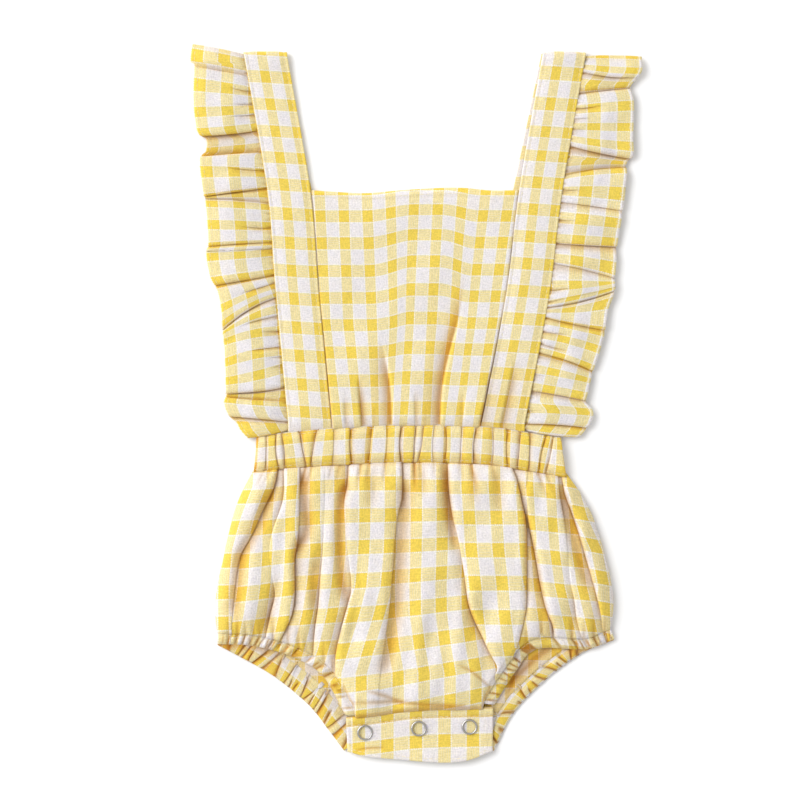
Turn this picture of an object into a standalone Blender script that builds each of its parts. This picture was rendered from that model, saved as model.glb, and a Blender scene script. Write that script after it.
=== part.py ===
"""Baby romper laid flat: a square bib on two ruffled shoulder straps, an elastic waistband, and
bloomers with elastic legs and a snap crotch. The front lies on the back, on the plane z = 0.

+X is to the right of the garment as it lies, +Y runs to the shoulders and +Z is up.
The tables are in millimetres, from near the middle of the garment's outline."""
from collections import namedtuple

import bmesh
import bpy
import numpy as np

MM = 0.001

# ---- driving sizes, in millimetres
CLOTH_WALL = 1.2            # panels, straps and ruffles
BAND_WALL = 1.8             # casings with their elastic, and the snap bands
SEAM_GAP = 0.3
BACK_TOP = CLOTH_WALL       # the back lies on the plane z = 0
FRONT_FLOOR = BACK_TOP + SEAM_GAP
WAIST_FLOOR = BAND_WALL + SEAM_GAP

STRAP_WIDTH = 26.0
SHOULDER_Y = 212.0
SHOULDER_LIFT = 1.4         # how far the strap stands off itself in its shoulder fold
RUFFLE_RISE = 5.6           # height of a full ruffle wave
RUFFLE_GAP = 0.6            # the waves lean a little over their seam
WAIST_RISE = 1.9            # height of the waistband's gathers
PANEL_GAP = 0.5             # the panel leans a little over its waist seam
PANEL_PUFF = 3.7            # how far the front panel stands off the back
LEG_RISE = 1.0              # height of the gathers in a leg casing
FRONT_CASING_WIDTH = 6.0
BACK_CASING_WIDTH = 9.0
LEG_GATHERS = 17
BACK_CASING_WALL = 1.0
LEG_FLOOR = BACK_CASING_WALL + LEG_RISE + SEAM_GAP
SNAP_BAND_WALL = 2.0
SNAP_DIAMETER = 9.5
SNAP_WIRE = 1.1

# ---- outlines: x, y along each edge
WAIST_TOP = [(-95.3, -17.6), (-58.0, -13.3), (-9.0, -10.6), (38.0, -11.6), (65.7, -15.1), (86.5, -18.1)]
WAIST_BOTTOM = [(-97.0, -39.7), (-70.0, -36.7), (-9.0, -33.8), (38.0, -34.8), (66.3, -39.0), (90.0, -42.9)]
SIDE_LEFT = [(-107.5, -58.0), (-115.0, -87.0), (-120.4, -118.0)]
SIDE_RIGHT = [(103.0, -60.0), (112.0, -86.0), (117.9, -114.0)]
FRONT_LEG_LEFT = [(-119.7, -142.4), (-99.0, -143.4), (-76.0, -149.4), (-56.7, -161.0), (-42.6, -185.0)]
FRONT_LEG_RIGHT = [(118.6, -139.4), (101.0, -145.4), (72.0, -145.4), (59.0, -159.3), (46.6, -178.6)]
BACK_LEG_LEFT = [(-119.4, -143.0), (-104.7, -150.7), (-84.3, -162.6), (-64.6, -179.0), (-53.4, -193.0), (-43.4, -206.4)]
BACK_LEG_RIGHT = [(118.4, -140.0), (98.5, -148.3), (76.5, -164.7), (58.1, -183.9), (46.3, -206.6)]
CROTCH_TOP = [(-42.3, -186.0), (-20.0, -183.4), (2.7, -180.7), (46.0, -179.7)]
CROTCH_BOTTOM = [(-41.4, -206.8), (-30.0, -209.6), (-10.0, -211.6), (14.0, -213.4), (30.0, -212.2), (45.6, -206.6)]
BACK_CROTCH_Y = -186.0
NECKLINE = [(-63.6, 129.9), (-30.0, 128.3), (10.0, 129.2), (61.4, 129.2)]

Strap = namedtuple("Strap", "front_edge back_top_x back_waist_x")
STRAPS = {
    # the inner edge of the front strap, and of the back strap at the shoulder and at the waist
    "left": Strap([(-77.7, SHOULDER_Y), (-63.6, 129.9), (-58.6, 70.0), (-51.0, -9.6)], -77.7, -36.0),
    "right": Strap([(75.7, SHOULDER_Y), (61.6, 129.9), (53.5, 66.0), (38.9, -10.4)], 74.7, 27.0),
}

Ruffle = namedtuple("Ruffle", "outline creases")
Crease = namedtuple("Crease", "seam_y outer_y reach depth")
LEFT_RUFFLE = Ruffle(
    [(-134.9, 217.0), (-134.6, 184.0), (-129.8, 155.0), (-128.2, 125.0), (-124.4, 85.0), (-118.3, 55.0),
     (-115.6, 25.0), (-114.4, 0.0), (-109.5, -11.5), (-102.0, -17.0)],
    [Crease(200.1, 198.9, 0.7, 0.8), Crease(189.3, 188.1, 0.5, 0.6), Crease(178.2, 176.1, 0.6, 0.8),
     Crease(165.9, 161.7, 1.4, 1.0), Crease(152.7, 149.1, 0.6, 0.7), Crease(141.3, 137.1, 0.7, 0.7),
     Crease(131.1, 123.9, 1.4, 0.9), Crease(122.1, 116.7, 0.5, 0.6), Crease(106.5, 104.0, 0.6, 0.7),
     Crease(98.1, 96.3, 1.4, 0.9), Crease(88.0, 85.0, 0.5, 0.5), Crease(77.5, 73.0, 1.3, 0.8),
     Crease(65.7, 47.0, 1.4, 1.0), Crease(54.5, 39.0, 0.7, 0.7), Crease(45.3, 31.0, 0.7, 0.7),
     Crease(35.7, 23.0, 0.7, 0.6), Crease(24.0, 15.5, 0.5, 0.4), Crease(11.7, 7.5, 1.4, 1.0),
     Crease(3.0, -0.2, 0.6, 0.6), Crease(-7.5, -8.0, 1.3, 0.8)])
RIGHT_RUFFLE = Ruffle(
    [(134.9, 211.0), (132.2, 178.0), (129.0, 142.0), (124.2, 106.0), (118.4, 70.0), (112.4, 42.0),
     (107.0, 20.0), (103.8, 3.0), (104.8, -6.0), (99.5, -17.5)],
    [Crease(200.7, 198.0, 1.3, 0.7), Crease(187.5, 189.0, 1.4, 0.9), Crease(178.5, 180.5, 0.6, 0.7),
     Crease(169.5, 170.0, 0.6, 0.7), Crease(157.2, 151.0, 1.4, 1.0), Crease(142.3, 138.0, 0.6, 0.7),
     Crease(131.5, 127.5, 0.7, 0.7), Crease(122.3, 117.9, 1.3, 0.8), Crease(111.3, 107.1, 0.6, 0.7),
     Crease(100.0, 97.4, 1.4, 1.0), Crease(92.7, 87.7, 0.7, 0.6), Crease(84.5, 77.9, 1.4, 0.8),
     Crease(75.3, 69.7, 0.6, 0.7), Crease(66.5, 61.7, 0.6, 0.7), Crease(56.5, 51.1, 0.6, 0.7),
     Crease(46.5, 36.5, 0.7, 0.7), Crease(37.5, 24.5, 1.4, 0.9), Crease(24.3, 13.5, 0.7, 0.7),
     Crease(10.5, 4.5, 1.4, 0.9), Crease(0.5, -3.9, 0.7, 0.7)])
RUFFLES = {"left": LEFT_RUFFLE, "right": RIGHT_RUFFLE}

Tuck = namedtuple("Tuck", "top_x bottom_x depth")
WAIST_TUCKS = [
    Tuck(-90.3, -90.9, 0.6), Tuck(-81.0, -79.5, 0.9), Tuck(-70.5, -69.8, 0.8), Tuck(-60.1, -62.0, 1.0),
    Tuck(-49.5, -50.6, 0.5), Tuck(-39.9, -39.3, 0.9), Tuck(-26.9, -28.3, 0.8), Tuck(-17.7, -18.9, 0.5),
    Tuck(-8.3, -8.9, 1.0), Tuck(2.5, 0.7, 0.9), Tuck(10.1, 8.9, 0.4), Tuck(18.3, 17.5, 0.9),
    Tuck(27.3, 26.1, 0.5), Tuck(36.7, 35.1, 0.8), Tuck(45.7, 45.1, 0.5), Tuck(54.9, 54.5, 0.8),
    Tuck(64.3, 63.1, 1.0), Tuck(73.1, 73.5, 0.8), Tuck(81.1, 82.9, 0.8)]

# A fold is a trough from its start to its end, bowed sideways in its middle. Width is from the
# bottom of the trough to where it has nearly levelled out.
Fold = namedtuple("Fold", "start_x start_y end_x end_y bow width depth")
PANEL_FOLDS = [
    Fold(-83.2, -38.0, -110.1, -134.0, -5.0, 4.6, 3.5),
    Fold(-78.9, -38.0, -85.5, -78.0, 3.4, 4.0, 2.2),
    Fold(-66.9, -38.0, -69.3, -80.0, 0.0, 5.4, 2.8),
    Fold(-69.3, -72.0, -83.1, -142.0, 2.7, 4.0, 3.2),
    Fold(-56.7, -88.0, -60.3, -146.0, 0.0, 4.0, 2.5),
    Fold(-39.3, -34.0, -42.9, -72.0, 0.0, 4.2, 3.0),
    Fold(-38.1, -100.0, -47.7, -158.0, 0.0, 4.2, 2.8),
    Fold(-9.9, -32.0, -18.9, -160.0, 2.1, 4.6, 3.2),
    Fold(-1.5, -32.0, -4.5, -52.0, 0.0, 3.6, 2.0),
    Fold(18.9, -32.0, 48.3, -165.0, -6.9, 4.4, 3.2),
    Fold(32.7, -33.0, 32.1, -54.0, 0.0, 3.6, 2.0),
    Fold(54.3, -34.0, 64.9, -74.0, 0.0, 4.2, 3.0),
    Fold(66.0, -62.0, 72.3, -150.0, 0.0, 7.0, 3.8),
    Fold(83.1, -42.0, 95.7, -97.0, 0.0, 4.0, 2.8),
    Fold(87.5, -60.0, 110.1, -136.0, 3.0, 4.2, 3.0),
    Fold(93.3, -108.0, 97.3, -142.0, 0.0, 3.8, 2.2),
    Fold(25.5, -152.0, 44.1, -172.0, 0.0, 4.0, 2.2),
    Fold(-87.5, -108.0, -90.1, -141.0, 0.0, 3.8, 2.2),
]
BIB_FOLDS = [
    Fold(-22.5, 38.0, -17.1, -12.0, 0.0, 5.0, 1.8),
    Fold(-34.5, 14.0, -32.7, -12.0, 0.0, 4.0, 1.6),
    Fold(-0.9, 8.0, -0.3, -12.0, 0.0, 4.0, 1.4),
    Fold(29.7, 84.0, 13.5, -12.0, 0.0, 5.0, 2.4),
    Fold(43.0, 20.0, 35.9, -12.0, 0.0, 4.0, 1.4),
]

Snap = namedtuple("Snap", "name x y")
SNAPS = [Snap("left", -30.9, -195.2), Snap("centre", 1.3, -192.8), Snap("right", 31.7, -191.8)]

# colour, roughness and metallic value of each material
MATERIALS = {
    "gingham_cloth": ((0.93, 0.80, 0.42), 0.9, 0.0),
    "snap_metal": ((0.72, 0.72, 0.72), 0.25, 1.0),
}


# ---- curves and grids
def smooth(points):
    """A dense smooth curve through the points."""
    knots = np.array(points, dtype=float)
    ends = np.vstack([2 * knots[0] - knots[1], knots, 2 * knots[-1] - knots[-2]])
    step = np.linspace(0, 1, 20, endpoint=False)[:, None]
    spans = []
    for before, start, end, after in zip(ends, ends[1:], ends[2:], ends[3:]):
        linear = (end - before) * step
        square = (2 * before - 5 * start + 4 * end - after) * step ** 2
        cube = (3 * start - before - 3 * end + after) * step ** 3
        spans.append(start + 0.5 * (linear + square + cube))
    return np.vstack(spans + [knots[-1:]])


def along(curve, fractions):
    """The points at fractions of a dense curve's length."""
    length = np.concatenate([[0], np.cumsum(np.linalg.norm(np.diff(curve, axis=0), axis=1))])
    wanted = np.asarray(fractions) * length[-1]
    return np.column_stack([np.interp(wanted, length, curve[:, axis]) for axis in (0, 1)])


def where(curve, axis, values):
    """The points of a dense curve whose x (axis 0) or y (axis 1) has the given values."""
    order = np.argsort(curve[:, axis])
    other = np.interp(values, curve[order, axis], curve[order, 1 - axis])
    return np.column_stack([values, other] if axis == 0 else [other, values])


def inset(curve, distance):
    """A dense curve moved sideways, to its left as it runs."""
    run = np.gradient(curve, axis=0)
    run /= np.linalg.norm(run, axis=1)[:, None]
    return curve + distance * np.column_stack([-run[:, 1], run[:, 0]])


def between(edge_a, edge_b, columns):
    """A grid of x, y: one row for each pair of edge points, and columns from edge a to edge b."""
    share = np.asarray(columns)[None, :, None]
    return edge_a[:, None, :] * (1 - share) + edge_b[:, None, :] * share


def patch(top, bottom, left, right):
    """A grid of x, y filled in from its four edges (a Coons patch), rows running down."""
    u = np.linspace(0, 1, len(top))[None, :, None]
    v = np.linspace(0, 1, len(left))[:, None, None]
    ruled = (1 - v) * top[None] + v * bottom[None] + (1 - u) * left[:, None] + u * right[:, None]
    corners = ((1 - u) * (1 - v) * top[0] + u * (1 - v) * top[-1]
               + (1 - u) * v * bottom[0] + u * v * bottom[-1])
    return ruled - corners


def ease(value):
    """0 below 0, 1 above 1, and smooth between."""
    value = np.clip(value, 0, 1)
    return value * value * (3 - 2 * value)


def raised(grid, height):
    """The x, y, z grid of an x, y grid and its heights."""
    return np.dstack([grid, np.broadcast_to(height, grid.shape[:2])])


# ---- folds
def fold_depth(grid, folds):
    """How far the folds sink each point of an x, y grid."""
    depth = np.zeros(grid.shape[:2])
    for fold in folds:
        start = np.array([fold.start_x, fold.start_y])
        run = np.array([fold.end_x, fold.end_y]) - start
        length = np.linalg.norm(run)
        run /= length
        share = (grid - start) @ run / length
        aside = (grid - start) @ np.array([-run[1], run[0]])
        bowed = aside + fold.bow * 4 * share * (1 - share)
        fade = ease((share + 0.05) / 0.1) * ease((1 - share) / 0.4)
        depth = np.maximum(depth, fold.depth * fade * np.exp(-(bowed * 1.6 / fold.width) ** 2))
    return depth


def gather(positions, depths, steps):
    """Grid lines over gathers: for each line its place between the rows of `positions`, and how
    far it sinks. Each crease is a line, with `steps` spans to the next."""
    place = np.arange((len(positions) - 1) * steps + 1) / steps
    row = np.minimum(place.astype(int), len(positions) - 2)
    part = place - row
    lines = positions[row] * (1 - part)[:, None] + positions[row + 1] * part[:, None]
    share = part[:, None]
    sink = depths[row] * (1 - share) ** 3 + depths[row + 1] * share ** 3
    return lines, sink


# ---- objects
def material(name):
    colour, roughness, metallic = MATERIALS[name]
    made = bpy.data.materials.get(name)
    if made is None:
        made = bpy.data.materials.new(name)
        made.use_nodes = True
        shader = made.node_tree.nodes["Principled BSDF"]
        shader.inputs["Base Color"].default_value = (*colour, 1.0)
        shader.inputs["Roughness"].default_value = roughness
        shader.inputs["Metallic"].default_value = metallic
    return made


def cloth(name, points, wall, up=True):
    """A cloth wall: a grid of points as its inner face, thickened away from the surface below it.
    The rows of points run down the garment; up is False where the wall thickens downwards."""
    rows, columns = points.shape[:2]
    grid = bmesh.new()
    bmesh.ops.create_grid(grid, x_segments=columns - 1, y_segments=rows - 1, size=1)
    grid.verts.ensure_lookup_table()
    for vertex, point in zip(grid.verts, points[::-1].reshape(-1, 3)):
        vertex.co = point * MM
    mesh = bpy.data.meshes.new(name)
    grid.to_mesh(mesh)
    grid.free()
    mesh.shade_smooth()
    mesh.materials.append(material("gingham_cloth"))
    piece = bpy.data.objects.new(name, mesh)
    garment.objects.link(piece)
    wall_modifier = piece.modifiers.new("wall", 'SOLIDIFY')
    wall_modifier.thickness = wall * MM
    wall_modifier.offset = 1 if up else -1
    return piece


def bib():
    """The square front bib, between the straps' inner edges."""
    inner_left = smooth(STRAPS["left"].front_edge)
    inner_right = smooth(STRAPS["right"].front_edge)
    down = np.linspace(NECKLINE[0][1], WAIST_TOP[0][1] + 8.0, 14)
    left = where(inner_left, 1, down) + [SEAM_GAP, 0]
    right = where(inner_right, 1, down) - [SEAM_GAP, 0]
    across = np.linspace(left[-1, 0], right[-1, 0], 25)
    bottom = where(smooth(WAIST_TOP), 0, across) + [0, SEAM_GAP]
    left[-1] = bottom[0]
    right[-1] = bottom[-1]
    top = along(smooth(NECKLINE), np.linspace(0, 1, 25))
    left[0] = top[0]
    right[0] = top[-1]
    grid = patch(top, bottom, left, right)
    puff = 2.2 * ease((70.0 - grid[..., 1]) / 80.0)
    sink = fold_depth(grid, BIB_FOLDS)
    cloth("bib_front", raised(grid, FRONT_FLOOR + np.maximum(puff - sink, 0)), CLOTH_WALL)


def strap(side):
    """One strap: up the front, over the shoulder in a fold, and down the back to the waistband."""
    sizes = STRAPS[side]
    outward = -1 if side == "left" else 1
    width = [outward * STRAP_WIDTH, 0]
    columns = [0, 0.33, 0.67, 1]
    waist_y = WAIST_TOP[0][1]
    front_y = np.linspace(waist_y, SHOULDER_Y, 17)
    inner = where(smooth(sizes.front_edge), 1, front_y)
    lift = SHOULDER_LIFT * ease((front_y - SHOULDER_Y + 12.0) / 12.0)
    front = raised(between(inner, inner + width, columns), (FRONT_FLOOR + lift)[:, None])

    inner = np.column_stack([np.linspace(sizes.back_top_x, sizes.back_waist_x, 9),
                             np.linspace(SHOULDER_Y, waist_y, 9)])
    back = raised(between(inner, inner + width, columns), BACK_TOP)
    for row in (front[0], back[-1]):
        row[:, :2] = where(smooth(WAIST_TOP), 0, row[:, 0]) + [0, SEAM_GAP]

    fold_radius = (front[-1, 0, 2] - BACK_TOP) / 2
    bend = []
    for angle in np.radians([45.0, 90.0, 135.0]):
        row = front[-1] + (back[0] - front[-1]) * (1 - np.cos(angle)) / 2
        row[:, 1] += fold_radius * np.sin(angle)
        bend.append(row)
    path = np.concatenate([front, np.array(bend), back])
    cloth("strap_" + side, path if side == "right" else path[:, ::-1], CLOTH_WALL, up=False)


def ruffle(side):
    """A gathered frill down the outer edge of one strap."""
    outward = -1 if side == "left" else 1
    sizes = RUFFLES[side]
    strap_edge = smooth(STRAPS[side].front_edge) + [outward * (STRAP_WIDTH + RUFFLE_GAP), 0]
    ends = [Crease(SHOULDER_Y - 0.5, sizes.outline[0][1], 1.4, 0.5),
            Crease(-12.4, sizes.outline[-1][1], 1.4, 0.9)]
    creases = [ends[0]] + sizes.creases + [ends[1]]
    places = np.array([(crease.seam_y, crease.outer_y) for crease in creases])
    columns = np.array([0.0, 0.2, 0.5, 0.8, 1.0])
    depths = np.array([crease.depth * ease((crease.reach - columns) / 0.4) for crease in creases])
    lines, sink = gather(places, depths, 3)
    seam = where(strap_edge, 1, lines[:, 0])
    outer = where(smooth(sizes.outline), 1, lines[:, 1])
    outer[:, 0] -= outward * 2.0 * sink[:, -1]
    grid = between(seam, outer, columns)
    rise = np.interp(columns, [0, 0.5, 1], [1.6, RUFFLE_RISE, 0.8 * RUFFLE_RISE])
    floor = FRONT_FLOOR * (1 - columns) ** 2
    points = raised(grid, floor + rise * (1 - np.minimum(sink, 1)))
    cloth("ruffle_" + side, points if side == "right" else points[:, ::-1], CLOTH_WALL)


def waistband():
    """The elastic waistband: a gathered front casing on a plain back one."""
    top = smooth(WAIST_TOP)
    bottom = smooth(WAIST_BOTTOM)
    ends = [Tuck(WAIST_TOP[0][0], WAIST_BOTTOM[0][0], 0.8), Tuck(WAIST_TOP[-1][0], WAIST_BOTTOM[-1][0], 0.8)]
    tucks = [ends[0]] + WAIST_TUCKS + [ends[1]]
    places = np.array([(tuck.top_x, tuck.bottom_x) for tuck in tucks])
    depths = np.array([[tuck.depth] for tuck in tucks])
    lines, sink = gather(places, depths, 3)
    front_rows = [0, 0.35, 0.65, 1]
    grid = between(where(bottom, 0, lines[:, 1]), where(top, 0, lines[:, 0]), front_rows)
    rise = np.interp(front_rows, [0, 0.35, 0.65, 1], [0.7, 1, 1, 0.7]) * WAIST_RISE
    points = raised(grid, WAIST_FLOOR + rise * (1 - sink))
    cloth("waistband_front", points.transpose(1, 0, 2)[::-1], BAND_WALL)

    plain_x = np.linspace(0, 1, 17)
    back = between(along(top, plain_x), along(bottom, plain_x), [0, 0.5, 1])
    cloth("waistband_back", raised(back, 0).transpose(1, 0, 2), BAND_WALL)


def leg_edges(leg, casing_width):
    """The two edges of a leg casing, and the edge of the panel above it."""
    outer = smooth(leg)
    side = 1 if leg[0][0] < leg[-1][0] else -1
    return outer, inset(outer, side * casing_width), inset(outer, side * (casing_width + SEAM_GAP))


def panel(leg_left, leg_right, casing_width, crotch, columns, rows):
    """The x, y grid of a bloomer panel, from the waistband down to its casings and crotch."""
    across = np.linspace(0, 1, columns)
    down = np.linspace(0, 1, rows)
    left_leg = leg_edges(leg_left, casing_width)[2]
    right_leg = leg_edges(leg_right, casing_width)[2][::-1]
    left_leg = left_leg[left_leg[:, 1] > crotch[0, 1]]
    right_leg = right_leg[right_leg[:, 1] > crotch[-1, 1]]
    crotch = crotch[(crotch[:, 0] > left_leg[-1, 0]) & (crotch[:, 0] < right_leg[0, 0])]
    hem = along(np.vstack([left_leg, crotch, right_leg]), across)
    waist = along(smooth(WAIST_BOTTOM), across) - [0, PANEL_GAP]
    left = along(smooth([waist[0], *SIDE_LEFT, hem[0]]), down)
    right = along(smooth([waist[-1], *SIDE_RIGHT, hem[-1]]), down)
    return patch(waist, hem, left, right), across, down[:, None]


def bloomers():
    """The front and back bloomer panels. The front stands off the back between its folds."""
    crotch = smooth(CROTCH_TOP) + [0, SEAM_GAP]
    grid, across, down = panel(FRONT_LEG_LEFT, FRONT_LEG_RIGHT, FRONT_CASING_WIDTH, crotch, 59, 17)
    side_rise = ease(across / 0.06) * ease((1 - across) / 0.06)
    end_rise = (0.45 + 0.55 * ease(down / 0.15)) * (0.55 + 0.45 * ease((1 - down) / 0.15))
    puff = PANEL_PUFF * side_rise * end_rise
    floor = FRONT_FLOOR + (LEG_FLOOR - FRONT_FLOOR) * down
    height = floor + np.maximum(puff - fold_depth(grid, PANEL_FOLDS), 0)
    cloth("bloomer_front", raised(grid, height), CLOTH_WALL)

    crotch = np.array([(-60.0, BACK_CROTCH_Y), (60.0, BACK_CROTCH_Y)])
    grid, _, _ = panel(BACK_LEG_LEFT, BACK_LEG_RIGHT, BACK_CASING_WIDTH, along(crotch, np.linspace(0, 1, 61)),
                       31, 9)
    cloth("bloomer_back", raised(grid, 0), CLOTH_WALL)


def leg_casing(name, leg, width, floor, wall):
    """A gathered elastic casing along one leg edge."""
    outer, inner, _ = leg_edges(leg, width)
    wander = 0.25 * np.sin(2.4 * np.arange(LEG_GATHERS + 1))
    wander[[0, -1]] = 0
    places = ((np.arange(LEG_GATHERS + 1) + wander) / LEG_GATHERS)[:, None]
    depths = (0.8 + 0.2 * np.sin(3.7 * np.arange(LEG_GATHERS + 1)))[:, None]
    lines, sink = gather(places, depths, 3)
    rows = [0, 0.5, 1]
    grid = between(along(outer, lines[:, 0]), along(inner, lines[:, 0]), rows)
    points = raised(grid, floor + LEG_RISE * np.array([0.8, 1.0, 0.8]) * (1 - sink))
    points = points.transpose(1, 0, 2)[::-1]
    cloth(name, points if leg[0][0] < leg[-1][0] else points[:, ::-1], wall)


def crotch_bands():
    """The snap placket: a front band that lies over the back one."""
    across = np.linspace(0, 1, 15)
    top = along(smooth(CROTCH_TOP), across)
    bottom = along(smooth(CROTCH_BOTTOM), across)
    front = between(top, bottom, np.linspace(0, 1, 4)).transpose(1, 0, 2)
    cloth("crotch_band_front", raised(front, LEG_FLOOR), BAND_WALL)

    # the back band fills in between the back leg casings
    left, right = [leg_edges(leg, BACK_CASING_WIDTH)[2] for leg in (BACK_LEG_LEFT, BACK_LEG_RIGHT)]
    down = np.linspace(BACK_CROTCH_Y - SEAM_GAP, max(left[-1, 1], right[-1, 1]), 5)
    left, right = where(left, 1, down), where(right, 1, down)
    top, bottom = [np.linspace(left[row], right[row], 9) for row in (0, -1)]
    cloth("crotch_band_back", raised(patch(top, bottom, left, right), 0), SNAP_BAND_WALL)


def snap(place):
    """The open ring cap of a prong snap."""
    height = LEG_FLOOR + BAND_WALL + SEAM_GAP + SNAP_WIRE / 2
    bpy.ops.mesh.primitive_torus_add(
        major_segments=22, minor_segments=6,
        major_radius=(SNAP_DIAMETER - SNAP_WIRE) / 2 * MM, minor_radius=SNAP_WIRE / 2 * MM,
        location=(place.x * MM, place.y * MM, height * MM))
    ring = bpy.context.object
    ring.name = "snap_" + place.name
    ring.data.name = ring.name
    ring.data.materials.append(material("snap_metal"))
    ring.data.shade_smooth()
    for collection in list(ring.users_collection):
        collection.objects.unlink(ring)
    garment.objects.link(ring)


for leftover in list(bpy.data.objects):
    bpy.data.objects.remove(leftover, do_unlink=True)
garment = bpy.data.collections.new("baby_romper")
bpy.context.scene.collection.children.link(garment)

bib()
for strap_side in ("left", "right"):
    strap(strap_side)
    ruffle(strap_side)
waistband()
bloomers()
leg_casing("leg_casing_front_left", FRONT_LEG_LEFT, FRONT_CASING_WIDTH, LEG_FLOOR, CLOTH_WALL)
leg_casing("leg_casing_front_right", FRONT_LEG_RIGHT, FRONT_CASING_WIDTH, LEG_FLOOR, CLOTH_WALL)
leg_casing("leg_casing_back_left", BACK_LEG_LEFT, BACK_CASING_WIDTH, 0, BACK_CASING_WALL)
leg_casing("leg_casing_back_right", BACK_LEG_RIGHT, BACK_CASING_WIDTH, 0, BACK_CASING_WALL)
crotch_bands()
for snap_place in SNAPS:
    snap(snap_place)
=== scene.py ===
"""Baby romper in yellow gingham, laid flat: bib, ruffled shoulder straps, elastic waist, bloomers.

The pieces follow each other as they are sewn. Tables are in millimetres from the middle of the
garment: +X to the right of it as it lies, +Y to the shoulders, +Z up."""
from collections import namedtuple

import bmesh
import bpy
import numpy as np
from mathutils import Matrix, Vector


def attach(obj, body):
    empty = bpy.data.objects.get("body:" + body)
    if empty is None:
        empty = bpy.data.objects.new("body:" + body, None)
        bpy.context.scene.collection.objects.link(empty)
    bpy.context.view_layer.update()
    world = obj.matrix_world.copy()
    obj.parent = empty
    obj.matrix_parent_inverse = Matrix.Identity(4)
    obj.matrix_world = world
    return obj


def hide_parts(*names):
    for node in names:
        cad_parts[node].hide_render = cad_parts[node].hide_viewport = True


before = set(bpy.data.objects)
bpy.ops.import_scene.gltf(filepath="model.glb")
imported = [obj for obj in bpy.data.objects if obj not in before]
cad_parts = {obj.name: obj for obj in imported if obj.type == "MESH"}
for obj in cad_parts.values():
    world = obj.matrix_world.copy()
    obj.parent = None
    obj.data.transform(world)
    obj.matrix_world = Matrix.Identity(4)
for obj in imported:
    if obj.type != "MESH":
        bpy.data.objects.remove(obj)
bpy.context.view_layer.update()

# ------------------------------------------------------------------------------ the bib
# A square of light cotton and linen gingham between the two straps, which are sewn over its sides.
# Its top edge is turned in and topstitched, and its bottom edge is gathered into the waistband.
MM = 0.001
CLOTH_WALL = 0.6            # a single layer of the cloth
FRONT_TOP = 2.7             # right side of a flat front piece, with the back below it
UNDERLAP = 3.0              # a piece reaches this far under the one that is sewn over it
BIB_TOP = [(-63.6, 129.7), (-48.0, 128.3), (-30.0, 127.2), (-8.0, 128.6), (12.0, 129.4), (28.0, 129.2),
           (44.0, 127.4), (61.4, 127.2)]
WAIST_TOP = [(-95.3, -17.6), (-58.0, -13.3), (-9.0, -10.6), (38.0, -11.6), (65.7, -15.1), (86.5, -18.1)]
STRAP_INNER = {"left": [(-77.7, 212.0), (-63.6, 129.9), (-58.6, 70.0), (-51.0, -9.6)],
               "right": [(75.7, 212.0), (61.6, 129.9), (53.5, 66.0), (38.9, -10.4)]}
# The warp stripes draw together towards the waist, and the weft rows ride up across the middle.
BIB_STRIPES_TOP = [-57.5, -43.5, -29.3, -15.2, -2.0, 12.5, 26.6, 39.6, 53.8]
BIB_STRIPES_MIDDLE = [-54.5, -41.0, -26.6, -13.2, -4.7, 9.2, 22.6, 32.6, 45.5]
BIB_STRIPES_WAIST = [-48.5, -35.6, -24.6, -15.7, -8.2, 6.7, 15.8, 26.1, 37.6]
BIB_ROWS_LEFT = [114.0, 97.9, 81.2, 65.1, 48.8, 32.4, 15.5, -1.4]
BIB_ROWS_MIDDLE = [118.0, 103.1, 87.1, 70.2, 53.1, 35.4, 17.3, -0.9]
BIB_ROWS_RIGHT = [114.2, 98.3, 82.0, 66.1, 49.9, 34.4, 16.5, -1.2]
BIB_GRID = (120, 160)       # rows and columns
BIB_PUFF = 3.2              # how high the cloth stands off the back where it is gathered
TOP_HEM = 2.2               # the width of the turned edge at the top
TOP_STITCH = 3.4            # the stitching's distance from that edge
TOP_STITCH_ROW = 2.85       # and where it lies on the grid
BIB_UNDER_STRAP = 1.8       # the height of its right side where a strap or the waistband covers it
BIB_UNDER_BAND = 2.2

# The gingham is woven from dyed yarn in stripes of yellow and white of the same width both ways.
# Where two yellow stripes cross it is full yellow, and where one crosses white it is pale.
THREADS = 24.0              # threads in one repeat of the check
BESIDE_DOTS = 26.0          # dots in two repeats, along the yarn that lies beside a yellow stripe
YELLOW_EDGE = (0.212, 0.238)    # where a yellow stripe ends, in repeats from its middle
DOTS_AT = 0.240             # the middle of the dotted yarn, measured the same way
WHITE_CHECK = (0.86, 0.785, 0.75, 1.0)
PALE_CHECK = (0.89, 0.715, 0.36, 1.0)
FULL_CHECK = (0.91, 0.62, 0.092, 1.0)
DOTTED_YARN = (0.95, 0.905, 0.86, 1.0)
# Painted shade: in creases the cloth's colour is multiplied towards these two colours, in place of the dim
# light that reaches there.
PAINTED_SHADE_SLOPE = (0.82, 0.71, 0.57, 1.0)      # the tint on the slope of a crease
PAINTED_SHADE_BOTTOM = (0.57, 0.33, 0.12, 1.0)     # and at its bottom
WEAVE_RELIEF = 0.0006       # metres


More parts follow.
